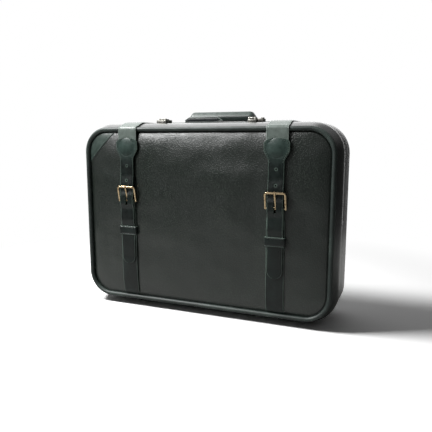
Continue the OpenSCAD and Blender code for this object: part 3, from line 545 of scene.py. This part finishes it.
heel_y = float(strap_y(np.array([heel_z]))[0]) - heel_out
low = np.linspace(strap_foot, heel_z, 70)
front_fall = np.linspace(heel_z, fold_foot, 10)[1:]
front_tail = np.linspace(fold_foot, fold_end, 12)[1:]
fall_out = np.interp(front_fall, [fold_foot, heel_z], [fold_out, heel_out + heel_room])
fold_line = resample(np.concatenate([
    np.stack([strap_y(low) - strap_t, low], 1),
    arc((heel_y, heel_z), heel_room, 0, 180, 16)[1:],
    np.stack([strap_y(front_fall) - fall_out, front_fall], 1),
    np.stack([strap_y(front_tail) - fold_out, front_tail], 1)]), 1.5)
station = np.arange(len(fold_line))
bend = np.argmax(fold_line[:, 1])
root_half = np.interp(fold_line[:, 1], [228.0, 234.0], [chape_root_half, chape_half])
fold_half = np.where(station > bend, chape_half, root_half)
fold_t = np.interp(station, [bend - 4, bend + 2], [strap_t, chape_t])
chape_grid, chape_rim = lay_strap(fold_line, -left_of(fold_line), fold_half, fold_t)
for side, at in sides:
    chape = leather_piece("chape_" + side, chape_grid + [at, 0, 0], chape_rim, strap_hide,
                          "lid", "buckle_strap_" + side)
    cut_out(chape, [block(at, slot_half, (heel_y - 12.6, heel_y + 1.4), (heel_z - 10, heel_z + 10)),
                    rod(at, slot_half, heel_y, heel_z, 3.6)])

# Billets
# The punched straps that pass through the buckles: a wide head with a padded dome, a long tongue with
# two buckle holes and a round tip, tucked through the keeper.

# Stops along a billet: a height, and how far its back stands off the line of the straps there.
billet_stops = np.array([[105, 4.0], [124, 2.8], [196, 2.8], [208, 4.8], [236, 4.8], [247, 8.4],
                         [266, 8.4], [277, 5.68], [292.5, 5.68], [312.5, 2.8], [411, 2.8]])
tongue_half, head_half, arch_half = 17.0, 27.5, 22.5
tip_z, arch_z, head_z = 122.0, 393.0, 397.0
dome_z, dome_r, dome_h = 377.0, 19.5, 2.5
hole_heights, hole_r = (334.0, 301.0), 2.0


def billet_half(z):
    """Half width of a billet at a height: a round tip, a straight tongue, a taper out to the head, the head's
    square corners and a low arch over its top."""
    tip = np.sqrt(np.maximum(0.04, tongue_half ** 2 - np.maximum(0, tip_z - z) ** 2))
    plain = np.interp(z, [352.0, 371.0, 388.0, arch_z], [tongue_half, head_half, head_half, arch_half])
    arch = arch_half * np.sqrt(np.clip((head_z - z) / (head_z - arch_z), 0.0004, 1))
    return np.where(z < tip_z, tip, np.where(z > arch_z, arch, plain))


tip_turn = np.radians(np.linspace(0, 88, 14))
billet_z = np.concatenate([tip_z - tongue_half * np.cos(tip_turn), np.linspace(123, 350, 120),
                           np.linspace(351, 392.5, 44),
                           head_z - (head_z - arch_z) * np.linspace(1, 0, 12) ** 2])
lift = np.interp(billet_z[:, None] + np.linspace(-2.5, 2.5, 11), *billet_stops.T).mean(1)
billet_line = np.stack([strap_y(billet_z) - lift, billet_z], 1)
forward = np.tile([-1.0, 0.0], (len(billet_z), 1))
billet_grid, billet_rim = lay_strap(billet_line, forward, billet_half(billet_z), strap_t)
face = billet_grid[:, :billet_grid.shape[1] // 2]
face_rim = billet_rim[:, :face.shape[1]]
off = np.hypot(face[..., 0], face[..., 2] - dome_z)
cap = dome_h * np.clip(1 - (off / dome_r) ** 2, 0, 1)
seat = 0.35 * np.exp(-((off - dome_r - 0.8) / 0.7) ** 2)
face[..., 1] += seat - cap
for hole_z in hole_heights:
    around = np.hypot(face[..., 0], face[..., 2] - hole_z)
    face_rim[:] = np.minimum(face_rim, np.maximum(0, around - hole_r - 0.4))
turn = np.linspace(0, 2 * np.pi, 20, endpoint=False)
for side, at in sides:
    billet = leather_piece("punched_strap_" + side, billet_grid + [at, 0, 0], billet_rim, strap_hide,
                           "lid", "billet_" + side)
    rings = [np.stack([at + hole_r * np.cos(turn), 0 * turn, hole_z + hole_r * np.sin(turn)], 1)
             for hole_z in hole_heights]
    punches = [np.stack([ring + [0, y, 0] for y in (-70, -50)]) for ring in rings]
    cut_out(billet, [*punches, block(at, slot_half, (-75, -50), (244, 278))])

# Keepers
# A loop of the strap leather on each buckle strap, below the buckle. Its ends are sewn in under the strap,
# and it holds the billet's tip down.


def keeper_loop(z0, z1, clear, half, thick):
    """Rows follow the loop over the strap in width and height above it, a square path with round corners.
    Each row runs across the keeper's outer face, with round edges, and back along its inner face."""
    bend = np.radians(np.linspace(0, 90, 8))
    r = 0.6
    legs = np.linspace(0, clear - r, 6)
    turn = np.stack([half - r + r * np.cos(bend), clear - r + r * np.sin(bend)], 1)
    path = np.concatenate([np.stack([np.full(5, half), legs[:-1]], 1), turn])
    path = np.concatenate([path, np.stack([np.linspace(half - r, 0, 8)[1:], np.full(7, clear)], 1)])
    path = np.concatenate([path, (path * [-1, 1])[:-1][::-1]])
    out = -left_of(path)
    inset = np.array([0.0, 0.12, 0.45, 1.0, 2.0, 2.4, 2.8, 6.0])
    sink = np.array([0.9, 0.5, 0.16, 0.02, 0.0, 0.25, 0.0, 0.0])
    z = np.concatenate([z0 + inset, z1 - inset[::-1], [z1, z1 - 0.7, z0 + 0.7, z0]])
    h = np.concatenate([thick - sink, thick - sink[::-1], [0.6, 0.0, 0.0, 0.6]])
    flat = path[:, None, :] + out[:, None, :] * h[None, :, None]
    zz = np.broadcast_to(z, flat.shape[:2])
    rim = np.broadcast_to(np.concatenate([inset, inset[::-1], np.zeros(4)]), flat.shape[:2])
    return np.stack([flat[..., 0], strap_y(zz) - flat[..., 1], zz], -1), rim


loop_grid, loop_rim = keeper_loop(z0=174.0, z1=194.0, clear=5.6, half=20.3, thick=2.0)
for side, at in sides:
    leather_piece("strap_loop_" + side, loop_grid + [at, 0, 0], loop_rim, strap_hide, "lid", "keeper_" + side)

# Corner patch
# A triangle of the strap leather on the upper left corner of the face, glued on, tucked under the piping
# and sewn along its long edge.

patch_leg, patch_t = 70.0, 1.0
patch_corner = np.array([-panel_w / 2, case_mid + panel_h / 2])


def corner_rows(columns=30):
    """Rows parallel to the patch's long edge, in width and height: their ends run along the panel's two
    straight sides up to its round corner, then towards each other along the corner's arc."""
    legs = np.linspace(patch_leg, panel_r, 16)
    turn = np.radians(np.linspace(0, 43.5, 16)[1:])
    down = np.concatenate([np.stack([0 * legs, legs], 1),
                           np.stack([panel_r - panel_r * np.cos(turn), panel_r - panel_r * np.sin(turn)], 1)])
    share = np.linspace(0, 1, columns)[None, :, None]
    flat = down[:, None, :] * (1 - share) + down[:, None, ::-1] * share
    return patch_corner[0] + flat[..., 0], patch_corner[1] - flat[..., 1]


px, pz = corner_rows()
patch_in = (patch_leg - (px - patch_corner[0]) - (patch_corner[1] - pz)) / np.sqrt(2)
rise = patch_t * np.sqrt(np.clip(patch_in / 1.1, 0.05, 1)) - 0.25 * np.exp(-((patch_in - 6.5) / 0.6) ** 2)
under = padded_face(px, pz, front_edge_y, front_crown, -1, front_seed)
patch_face = np.stack([px, under - rise, pz], -1)
patch_grid = np.concatenate([patch_face, np.stack([px, under + 0.1, pz], -1)[:, ::-1]], 1)
# The patch's edge colour is near black, a painted shadow line along its long edge, and above 0.30 m its
# leather is painted paler, light from above.
patch_hide = strap_leather("corner_leather", "#242f2c", "#38453f", "#060908", "#4a5852", 0.30, 0.44)
patch_rim = np.concatenate([patch_in, patch_in[:, ::-1]], 1)
leather_piece("corner_leather", patch_grid, patch_rim, patch_hide, "lid", "corner_patch")

# Stitching
# Waxed linen thread, saddle-stitched at about 5 to the inch round the billet heads, along the corner patch,
# across the strap ends and round the handle tag. Each stitch is a small pulled-down lozenge.

stitch_pitch, stitch_len = 4.6, 3.4


def waxed_thread(name, dark, pale):
    """Twisted linen thread: fine slanted bands of light and dark with a waxy, half-dull surface."""
    material, tree, shader, spot = start_material(name)
    twist = put(tree, "TexWave", {"Vector": spot, "Scale": 1000 / 0.7 / 20 * np.pi, "Distortion": 1.0},
                bands_direction="DIAGONAL")
    tone = put(tree, "Mix", {0: twist.outputs["Fac"], 6: linear(dark), 7: linear(pale)}, data_type="RGBA")
    relief = put(tree, "Bump", {"Height": twist.outputs["Fac"], "Strength": 0.5, "Distance": 0.0002})
    put(tree, shader, {"Base Color": tone, "Normal": relief, "Roughness": 0.55})
    return material


thread = waxed_thread("waxed_linen_thread", "#27332e", "#59665b")


def sew(name, runs, body):
    """Stitches along lines on the leather. Each run gives points in mm and the outward direction there. A
    line is divided at the pitch, and each stitch is a lozenge of two square rings and two tips along it."""
    places = []
    for line, out in runs:
        run = running_length(line)
        count = max(2, int(run[-1] / stitch_pitch))
        middle = (np.arange(count) + 0.5) * run[-1] / count
        at = [np.stack([np.interp(middle + d, run, line[:, k]) for k in range(3)], 1)
              for d in (-stitch_len / 2, stitch_len / 2)]
        up = np.stack([np.interp(middle, run, np.broadcast_to(out, line.shape)[:, k]) for k in range(3)], 1)
        places.append(np.stack([*at, up], 1))
    start, end, up = np.concatenate(places).transpose(1, 0, 2)
    across = np.cross(up, end - start)
    across /= np.linalg.norm(across, axis=1, keepdims=True)
    ring_wide, ring_high = [0.5, 0, -0.5, 0], [0.1, 0.5, 0.1, -0.2]
    share = np.repeat([0, 0.22, 0.78, 1.0], [1, 4, 4, 1])
    wide = np.array([0, *ring_wide, *ring_wide, 0])
    high = np.array([-0.1, *ring_high, *ring_high, -0.1])
    points = (start[:, None] + share[:, None] * (end - start)[:, None] + wide[:, None] * across[:, None]
              + high[:, None] * up[:, None])
    # A stitch has a tip, point 0, two rings of four, points 1 to 4 and 5 to 8, and a second tip, point 9.
    stitch = []
    for k, n in ((0, 1), (1, 2), (2, 3), (3, 0)):
        stitch += [[0, 1 + n, 1 + k], [1 + k, 1 + n, 5 + n, 5 + k], [9, 5 + k, 5 + n]]
    faces = [[i + 10 * number for i in face] for number in range(len(points)) for face in stitch]
    mesh = bpy.data.meshes.new(name)
    mesh.from_pydata(((points.reshape(-1, 3) + [0, parting_y, 0]) / 1000).tolist(), [], faces)
    return place_piece(name, mesh, thread, body)


def head_line(at):
    """The seam round a billet head, 3 mm inside its outline: up one side, over the arch and down."""
    z = np.linspace(346, 390, 40)
    x = billet_half(z) - 3.0 - 2.2 * np.clip((z - 386) / 4, 0, 1)
    top = np.linspace(x[-1], -x[-1], 20)[1:-1]
    xx = np.concatenate([x, top, -x[::-1]])
    zz = np.concatenate([z, 393.6 - 3.6 * (top / x[-1]) ** 2, z[::-1]])
    y = strap_y(zz) - np.interp(zz, *billet_stops.T) - strap_t
    return np.stack([at + xx, y, zz], 1), np.array([0.0, -1.0, 0.0])


def cross_line(line, run_mm, at):
    """A straight seam across a strap, run_mm along its path, from 3.5 mm inside one edge to the other."""
    out = left_of(line)
    k = int(run_mm / np.hypot(*(line[1] - line[0])))
    spot, up = line[k] + strap_t * out[k], out[k]
    reach = band_half - 3.5
    x = np.linspace(at - reach, at + reach, 12)
    return np.stack([x, np.full(12, spot[0]), np.full(12, spot[1])], 1), np.array([0.0, up[0], up[1]])


seam_row = np.argmin(np.abs(patch_in[:, 15] - 3.4))
lid_runs = [(patch_face[seam_row], np.array([0.0, -1.0, 0.0]))]
body_runs = []
band_length = running_length(band_line)[-1]
back_length = running_length(back_line)[-1]
for side, at in sides:
    lid_runs += [head_line(at), *(cross_line(band_line, band_length - end, at) for end in (5, 10))]
    body_runs += [cross_line(back_line, run, at) for run in (5, 10, back_length - 6, back_length - 11)]
sew("lid_stitches", lid_runs, "lid")
sew("body_stitches", body_runs, "case_body")

# Buckles
# Cast brass frames, polished and lacquered. The side bars run down to feet below the round heel bar that
# the folded strap end turns on, and the nose bar is rounded where the billet slides under it.


def lacquered_brass(name, bright, brown):
    """Polished brass under old lacquer: a warm mirror with fine rub lines, browned where that has gone."""
    material, tree, shader, spot = start_material(name)
    stain = put(tree, "TexNoise", {"Vector": spot, "Scale": 1000 / 7, "Detail": 5.0, "Roughness": 0.6})
    gone = put(tree, "MapRange", {"Value": stain, "From Min": 0.5, "From Max": 0.72})
    tone = put(tree, "Mix", {0: gone, 6: linear(bright), 7: linear(brown)}, data_type="RGBA")
    gloss = put(tree, "MapRange", {"Value": stain, "From Min": 0.3, "From Max": 0.75,
                                   "To Min": 0.13, "To Max": 0.32})
    rubs = put(tree, "TexNoise", {"Vector": spot, "Scale": 1000 / 0.9, "Detail": 2.0, "Distortion": 1.2})
    relief = put(tree, "Bump", {"Height": rubs, "Strength": 0.12, "Distance": 0.0002})
    put(tree, shader, {"Base Color": tone, "Roughness": gloss, "Normal": relief, "Metallic": 1.0})
    return material


brass = lacquered_brass("lacquered_brass", "#d9c19b", "#8c6a48")
buckle_w, buckle_h, buckle_bar, buckle_t, buckle_r = 47.0, 34.5, 4.2, 3.0, 7.0
heel_half, heel_r, frame_tilt = 21.0, 1.5, 11


def lean(x, v, h, degrees, at):
    """Turns points drawn flat on the heel bar about it: v stands off the flat, h runs up it."""
    c, s = np.cos(np.radians(degrees)), np.sin(np.radians(degrees))
    return np.stack([at + x, heel_y + v * c - h * s, heel_z + v * s + h * c], -1)


def rounded(half_a, half_b, steps=18, power=0.62):
    """A rounded bar section, a superellipse with these half sizes."""
    a = np.linspace(0, 2 * np.pi, steps, endpoint=False)
    across, along = [np.sign(w) * np.abs(w) ** power for w in (np.cos(a), np.sin(a))]
    return half_a * across, half_b * along


def frame_bar(at):
    """The buckle's bent bar: up one side, round two corners and down the other, with its section squared to
    the path, drawn in at the feet."""
    x0, r = buckle_w / 2 - buckle_bar / 2, buckle_r - buckle_bar / 2
    a = np.radians(np.linspace(0, 90, 12))
    side = np.stack([np.full(9, x0), np.array([-2.5, -2.2, -1.2, 2, 6, 10, 15, 20, 25])], 1)
    bend = np.stack([x0 - r + r * np.cos(a), buckle_h - buckle_r + r * np.sin(a)], 1)
    half = np.concatenate([side, bend, [[8.0, bend[-1, 1]]]])
    path = np.concatenate([half, [[0.0, bend[-1, 1]]], (half * [-1, 1])[::-1]])
    scale = np.ones(len(path))
    scale[[0, 1, -1, -2]] = [0.6, 0.88, 0.6, 0.88]
    u, v = rounded(buckle_bar / 2, buckle_t / 2)
    flat = path[:, None, :] - scale[:, None, None] * u[None, :, None] * left_of(path)[:, None, :]
    return lean(flat[..., 0], scale[:, None] * v[None, :], flat[..., 1], frame_tilt, at)


for side, at in sides:
    heel_bar = rod(at, heel_half, heel_y, heel_z, heel_r)
    make_piece("buckle_bar_" + side, [(frame_bar(at), False), (heel_bar, False)],
               brass, "buckle_" + side, ["buckle_frame_" + side], 50)

# Prongs
# A brass strip rolled into an eye round the heel bar. Its pointed end comes up through the billet and rests
# on the nose bar.

prong_len, prong_tilt, eye_r = 37.0, 16, 2.43
turn = np.linspace(0, 2 * np.pi, 32, endpoint=False)[:, None]
ru, rx = rounded(0.87, 2.0, 14, 0.5)
sx, sv = rounded(2.0, 1.1, 16, 0.7)
point = prong_len - 2 + 2 * np.sin(np.radians(np.linspace(10, 90, 8)))
h = np.concatenate([np.linspace(2.4, 34.5, 16), point])[:, None]
narrow = np.interp(h, [2.4, 20, 35, 36.3, prong_len], [1.0, 0.95, 0.8, 0.62, 0.12])
for side, at in sides:
    eye = lean(rx + 0 * turn, (eye_r + ru) * np.cos(turn), (eye_r + ru) * np.sin(turn), prong_tilt, at)
    shaft = lean(narrow * sx, np.sqrt(narrow) * sv, h + 0 * sx, prong_tilt, at)
    make_piece("buckle_tongue_" + side, [(eye, True), (shaft, False)], brass, "tongue_" + side,
               ["prong_" + side], 50)

# Locks
# Two spring locks on the top wall: a pressed nickelled case with a sliding bolt on the body, and a hasp with
# its staple hinged to a base on the lid. The pressings' edges are rounded by the tool and by wear.


def worn_nickel(name, bright, dull, rough):
    """Nickel plate on steel, dulled by handling: a grey mirror with cloudy patches and fine scratches."""
    material, tree, shader, spot = start_material(name)
    cloud = put(tree, "TexNoise", {"Vector": spot, "Scale": 1000 / 9, "Detail": 6.0, "Roughness": 0.65})
    tone = put(tree, "Mix", {0: cloud, 6: linear(bright), 7: linear(dull)}, data_type="RGBA")
    gloss = put(tree, "MapRange", {"Value": cloud, "From Min": 0.3, "From Max": 0.7,
                                   "To Min": rough - 0.08, "To Max": rough + 0.12})
    lines = put(tree, "Mapping", {"Vector": spot, "Scale": (1.0, 9.0, 9.0)})
    scratch = put(tree, "TexNoise", {"Vector": lines, "Scale": 1000 / 6, "Detail": 3.0})
    relief = put(tree, "Bump", {"Height": scratch, "Strength": 0.2, "Distance": 0.0002})
    put(tree, shader, {"Base Color": tone, "Roughness": gloss, "Normal": relief, "Metallic": 1.0})
    return material


nickel = worn_nickel("worn_nickel", "#a5a49e", "#73726d", 0.42)


def eased(node, radius, material, body):
    """A pressed or machined piece with its edges eased: the node's own mesh, merged, its flat faces joined,
    and every edge of about 30 degrees or more rounded by radius mm."""
    flat_angle, sharp_angle = 0.02, 0.52
    shape = bmesh.new()
    shape.from_mesh(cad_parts[node].data)
    bmesh.ops.remove_doubles(shape, verts=shape.verts, dist=1e-6)
    bmesh.ops.dissolve_limit(shape, angle_limit=flat_angle, verts=shape.verts, edges=shape.edges)
    sharp = [e for e in shape.edges if e.is_manifold and e.calc_face_angle() > sharp_angle]
    bmesh.ops.bevel(shape, geom=sharp, offset=radius / 1000, segments=2, profile=0.5, affect="EDGES",
                    clamp_overlap=True)
    mesh = bpy.data.meshes.new(node + "_eased")
    shape.to_mesh(mesh)
    shape.free()
    return place_piece(node + "_eased", mesh, material, body, [node], 40)


for side in ("left", "right"):
    eased("lock_case_" + side, 0.5, nickel, "case_body")
    eased("lock_slider_" + side, 0.25, nickel, "slider_" + side)
    eased("hasp_base_" + side, 0.35, nickel, "lid")
    eased("hasp_" + side, 0.3, nickel, "hasp_" + side)

# Hinges, feet and valance
# Zinc-plated butt hinges with a steel pin under the parting line, turned studs to stand on, and a
# spring-steel valance round the mouth of the body, which the lid closes over.

zinc = worn_nickel("zinc_plated_steel", "#8e9192", "#63676a", 0.4)
eased("hinge_body_leaves", 0.2, zinc, "case_body")
eased("hinge_lid_leaves", 0.2, zinc, "lid")
eased("hinge_pins", 0.2, zinc, "case_body")
eased("valance", 0.3, zinc, "case_body")
eased("body_feet", 0.4, nickel, "case_body")
eased("lid_feet", 0.4, nickel, "lid")

# Handle
# A drop handle: a leather-covered grip on two flat steel tongues, which slide through nickelled sockets on a
# stiffening board and stop on their foot plates. Covers in the lining's rayon keep luggage off the plates.

handle_x, handle_y, tongue_x = 16.0, 50.0, 74.0
grip_foot, grip_top, grip_z, grip_h, grip_d = 88.0, 72.0, 434.2, 22.0, 28.0
tongue_steel = worn_nickel("ground_steel", "#8a8d8f", "#55585b", 0.3)
eased("handle_board", 0.8, strap_hide, "case_body")
for side in ("left", "right"):
    eased("handle_socket_" + side, 0.25, nickel, "case_body")
    eased("handle_tongue_" + side, 0.4, tongue_steel, "handle")
    eased("handle_cover_" + side, 0.8, rayon, "case_body")
# The tongues pass through slots in the wall, and their foot plates have wider ones in the lining.
for name, half_x, half_y in (("body_case", 1.8, 7.3), ("body_tray", 4.6, 11.6)):
    cut_out(bpy.data.objects[name], [block(at, half_x, (handle_y - half_y, handle_y + half_y), (422, 438))
                                     for at in (handle_x - tongue_x, handle_x + tongue_x)], True)


def soft_corners(corners, cut, steps):
    """A closed outline of corners, each rounded by a parabola that starts and ends at cut from it."""
    corners = np.array(corners, float)
    before, after = np.roll(corners, 1, 0) - corners, np.roll(corners, -1, 0) - corners
    start = corners + cut * before / np.hypot(*before.T)[:, None]
    end = corners + cut * after / np.hypot(*after.T)[:, None]
    t = np.linspace(0, 1, steps)[None, :, None]
    bend = (1 - t) ** 2 * start[:, None] + 2 * t * (1 - t) * corners[:, None] + t ** 2 * end[:, None]
    return bend.reshape(-1, 2)


def grip_rows():
    """The grip as sections along its length: a flat underside, an upright front and a broad bevel up to the
    top. The top falls to each end along a straight slope, and the ends draw in like a quarter ellipse."""
    t = np.sin(np.radians(np.linspace(-90, 90, 91)))
    x = grip_foot * np.sign(t) * np.abs(t) ** 0.8
    reach = np.abs(x)
    slope = grip_h * (grip_foot - reach) / (grip_foot - grip_top)
    soft = 1.6
    top = np.maximum(2.2, -soft * np.log(np.exp(-grip_h / soft) + np.exp(-slope / soft)))
    half = grip_d / 2 * np.sqrt(np.clip(1 - (np.maximum(0, reach - 70) / 26) ** 2, 0.1, 1))
    around = soft_corners([(1, 0), (1, 0.72), (0.72, 1), (-0.36, 1), (-1, 0.55), (-1, 0)], 0.2, 8)
    y = half[:, None] * around[:, 0]
    z = top[:, None] * around[:, 1]
    return np.stack([handle_x + np.broadcast_to(x[:, None], y.shape), handle_y + y, grip_z + z], -1)


# From 444.5 mm up the grip's leather is painted paler: a painted highlight on its bevel and top, where the
# light from above falls.
grip_hide = strap_leather("handle_leather", "#15211e", "#273630", "#273630", "#4a5550", 0.4445, 0.448)
grip_grid = grip_rows()
leather_piece("grip_cover", grip_grid, np.full(grip_grid.shape[:2], uncut), grip_hide,
              "handle", "handle_grip", 60)

# Handle tag
# A pointed tab of strap leather with a rounded edge and a pressed line inside it, sewn to the left half of
# the grip's front.

tag_z0, tag_z1, tag_seam = 431.5, 445.2, 2.8
tag_place = np.array([handle_x, handle_y - grip_d / 2, tag_z0])


def tag_rows(inset, rows=60):
    """Low and high edge of the tag along its length, drawn in by inset: a blunt slanted left end, straight
    sides, and a right end that runs out to a point a third of the way up."""
    x = np.linspace(-grip_foot + inset, 8.0 - 1.6 * inset, rows)
    h = tag_z1 - tag_z0
    low = np.interp(x, [-8.0, 8.0], [0.0, h / 3])
    high = np.interp(x, [-88.0, -76.0, -6.0, 8.0], [h / 2, h, h, h / 3])
    return x, np.minimum(low + inset, (low + high) / 2), np.maximum(high - inset, (low + high) / 2)


# The tag's section from its foot inwards: how far inside the outline, and how far off the grip.
levels = [(0.0, 0.0), (0.0, 1.9), (0.15, 2.45), (0.5, 2.82), (1.1, 3.0), (2.4, 3.0), (2.8, 2.75), (3.2, 3.0)]
sections = [(*tag_rows(inset), rise) for inset, rise in levels]
low_side = [np.stack([x, np.full_like(x, rise), low], -1) for x, low, high, rise in sections]
high_side = [np.stack([x, np.full_like(x, rise), high], -1) for x, low, high, rise in sections]
tag_grid = tag_place + np.stack(low_side + high_side[::-1], 1) * [1, -1, 1]
# The tag's edge colour is pale: wear, and a painted highlight along its edges.
tag_hide = strap_leather("tag_leather", "#0d1413", "#1a2423", "#8d9691", "#10181a", 0.30, 0.44)
tag_rim = np.broadcast_to([inset for inset, rise in levels + levels[::-1]], tag_grid.shape[:2])
leather_piece("tag_leather", tag_grid, tag_rim, tag_hide, "handle", "handle_tag")
tx, tl, th = tag_rows(tag_seam)
outline = np.concatenate([np.stack([tx, tl], 1), np.stack([tx, th], 1)[::-1]])
tag_line = tag_place + np.insert(outline, 1, -tag_seam, axis=1)
sew("tag_stitches", [(tag_line, np.array([0.0, -1.0, 0.0]))], "handle")

# Camera, floor and light
# A pale seamless floor, a key lamp high at the left, whose shadow falls to the right, and a softbox at the
# front left for the sheen on the panel. The camera stands where the photograph was taken from.


def stand(thing, place, target):
    """Puts the camera or a lamp at a place, in metres, and turns it upright towards its target."""
    bpy.context.scene.collection.objects.link(thing)
    thing.location = place
    way = np.array(target) - np.array(place)
    thing.rotation_euler = (np.arctan2(np.hypot(way[0], way[1]), -way[2]), 0, np.arctan2(-way[0], way[1]))


camera = bpy.data.objects.new("camera", bpy.data.cameras.new("camera"))
camera.data.lens = 40.7
camera.data.sensor_width = 36
stand(camera, (0.4361, -1.0376, 0.3952), (0.0411, -0.0656, 0.2292))
bpy.context.scene.camera = camera

floor_mesh = bpy.data.meshes.new("floor")
floor_r = 1.2
turn = np.linspace(0, 2 * np.pi, 96, endpoint=False)
floor_ring = np.stack([floor_r * np.cos(turn), floor_r * np.sin(turn), 0 * turn], 1)
floor_mesh.from_pydata(floor_ring.tolist(), [], [range(len(turn))])
floor = bpy.data.objects.new("floor", floor_mesh)
bpy.context.scene.collection.objects.link(floor)
paper = bpy.data.materials.new("floor_paper")
paper.use_nodes = True
roll = paper.node_tree
paper_shader = roll.nodes["Principled BSDF"]
# To the camera the paper is white where the key reaches it, and it turns to plain white away from the case.
looked_at = put(roll, "LightPath").outputs["Is Camera Ray"]
put(roll, paper_shader, {"Base Color": linear("#d2d2d0"), "Roughness": 0.9, "Specular IOR Level": 0.1})
paper_gain = 1.9
white_paper = put(roll, "BsdfDiffuse", {"Color": [paper_gain * c for c in linear("#ffffff")]})
seen_paper = put(roll, "MixShader", {0: looked_at, 1: paper_shader, 2: white_paper})
away = put(roll, "VectorMath", {0: put(roll, "TexCoord").outputs["Object"]}, operation="LENGTH")
fade = put(roll, "MapRange", {"Value": away, "From Min": 0.55, "From Max": 1.0},
           interpolation_type="SMOOTHSTEP")
seen_fade = put(roll, "Math", {0: fade, 1: looked_at}, operation="MULTIPLY")
white = put(roll, "MixShader", {0: seen_fade, 1: seen_paper, 2: put(roll, "Emission")})
put(roll, roll.nodes["Material Output"], {"Surface": white})
floor_mesh.materials.append(paper)


def soft_lamp(name, place, size, watts):
    """A square area lamp that faces the case."""
    lamp = bpy.data.objects.new(name, bpy.data.lights.new(name, "AREA"))
    lamp.data.shape, lamp.data.size, lamp.data.energy = "SQUARE", size, watts
    stand(lamp, place, (0, 0, 0.3))
    return lamp


soft_lamp("key", (-0.97, -0.45, 1.75), 0.55, 34)
softbox = soft_lamp("softbox", (-1.1, -1.4, 1.6), 0.75, 34)
# The softbox is flagged off the floor, so that the case throws one shadow.
flagged = bpy.data.collections.new("flagged_off_the_softbox")
flagged.objects.link(floor)
flagged.collection_objects[0].light_linking.link_state = "EXCLUDE"
softbox.light_linking.receiver_collection = flagged
world = bpy.data.worlds.new("studio")
bpy.context.scene.world = world
world.use_nodes = True
sky = world.node_tree
# The room is bright behind the case on the left, less so overhead and dim in front. Surfaces that scatter
# light take little of it, and what the camera sees of it is plain white.
ray = put(sky, "LightPath")
seen = put(sky, "Math", {0: ray.outputs["Is Camera Ray"], 1: ray.outputs["Is Transmission Ray"]},
           operation="MAXIMUM")
facing = put(sky, "SeparateXYZ", {0: put(sky, "TexCoord").outputs["Generated"]})
behind = put(sky, "MapRange", {"Value": facing.outputs["Y"], "From Min": -0.4, "From Max": 0.4,
                               "To Min": 0.04, "To Max": 1.9}, interpolation_type="SMOOTHSTEP")
leftward = put(sky, "MapRange", {"Value": facing.outputs["X"], "From Min": 0.2, "From Max": -0.2},
               interpolation_type="SMOOTHSTEP")
above = put(sky, "MapRange", {"Value": facing.outputs["Z"], "From Min": 0.2, "From Max": 0.8,
                              "To Min": 0.04, "To Max": 0.45}, interpolation_type="SMOOTHSTEP")
beyond = put(sky, "Math", {0: behind, 1: leftward}, operation="MULTIPLY")
room = put(sky, "Math", {0: beyond, 1: above}, operation="MAXIMUM")
share = put(sky, "MapRange", {"Value": ray.outputs["Is Glossy Ray"], "To Min": 0.13, "To Max": 1.0})
lit = put(sky, "Math", {0: room, 1: share}, operation="MULTIPLY")
level = put(sky, "Math", {0: seen, 1: lit}, operation="MAXIMUM")
put(sky, sky.nodes["Background"], {"Strength": level, "Color": linear("#ffffff")})
bpy.context.scene.view_settings.view_transform = "Standard"
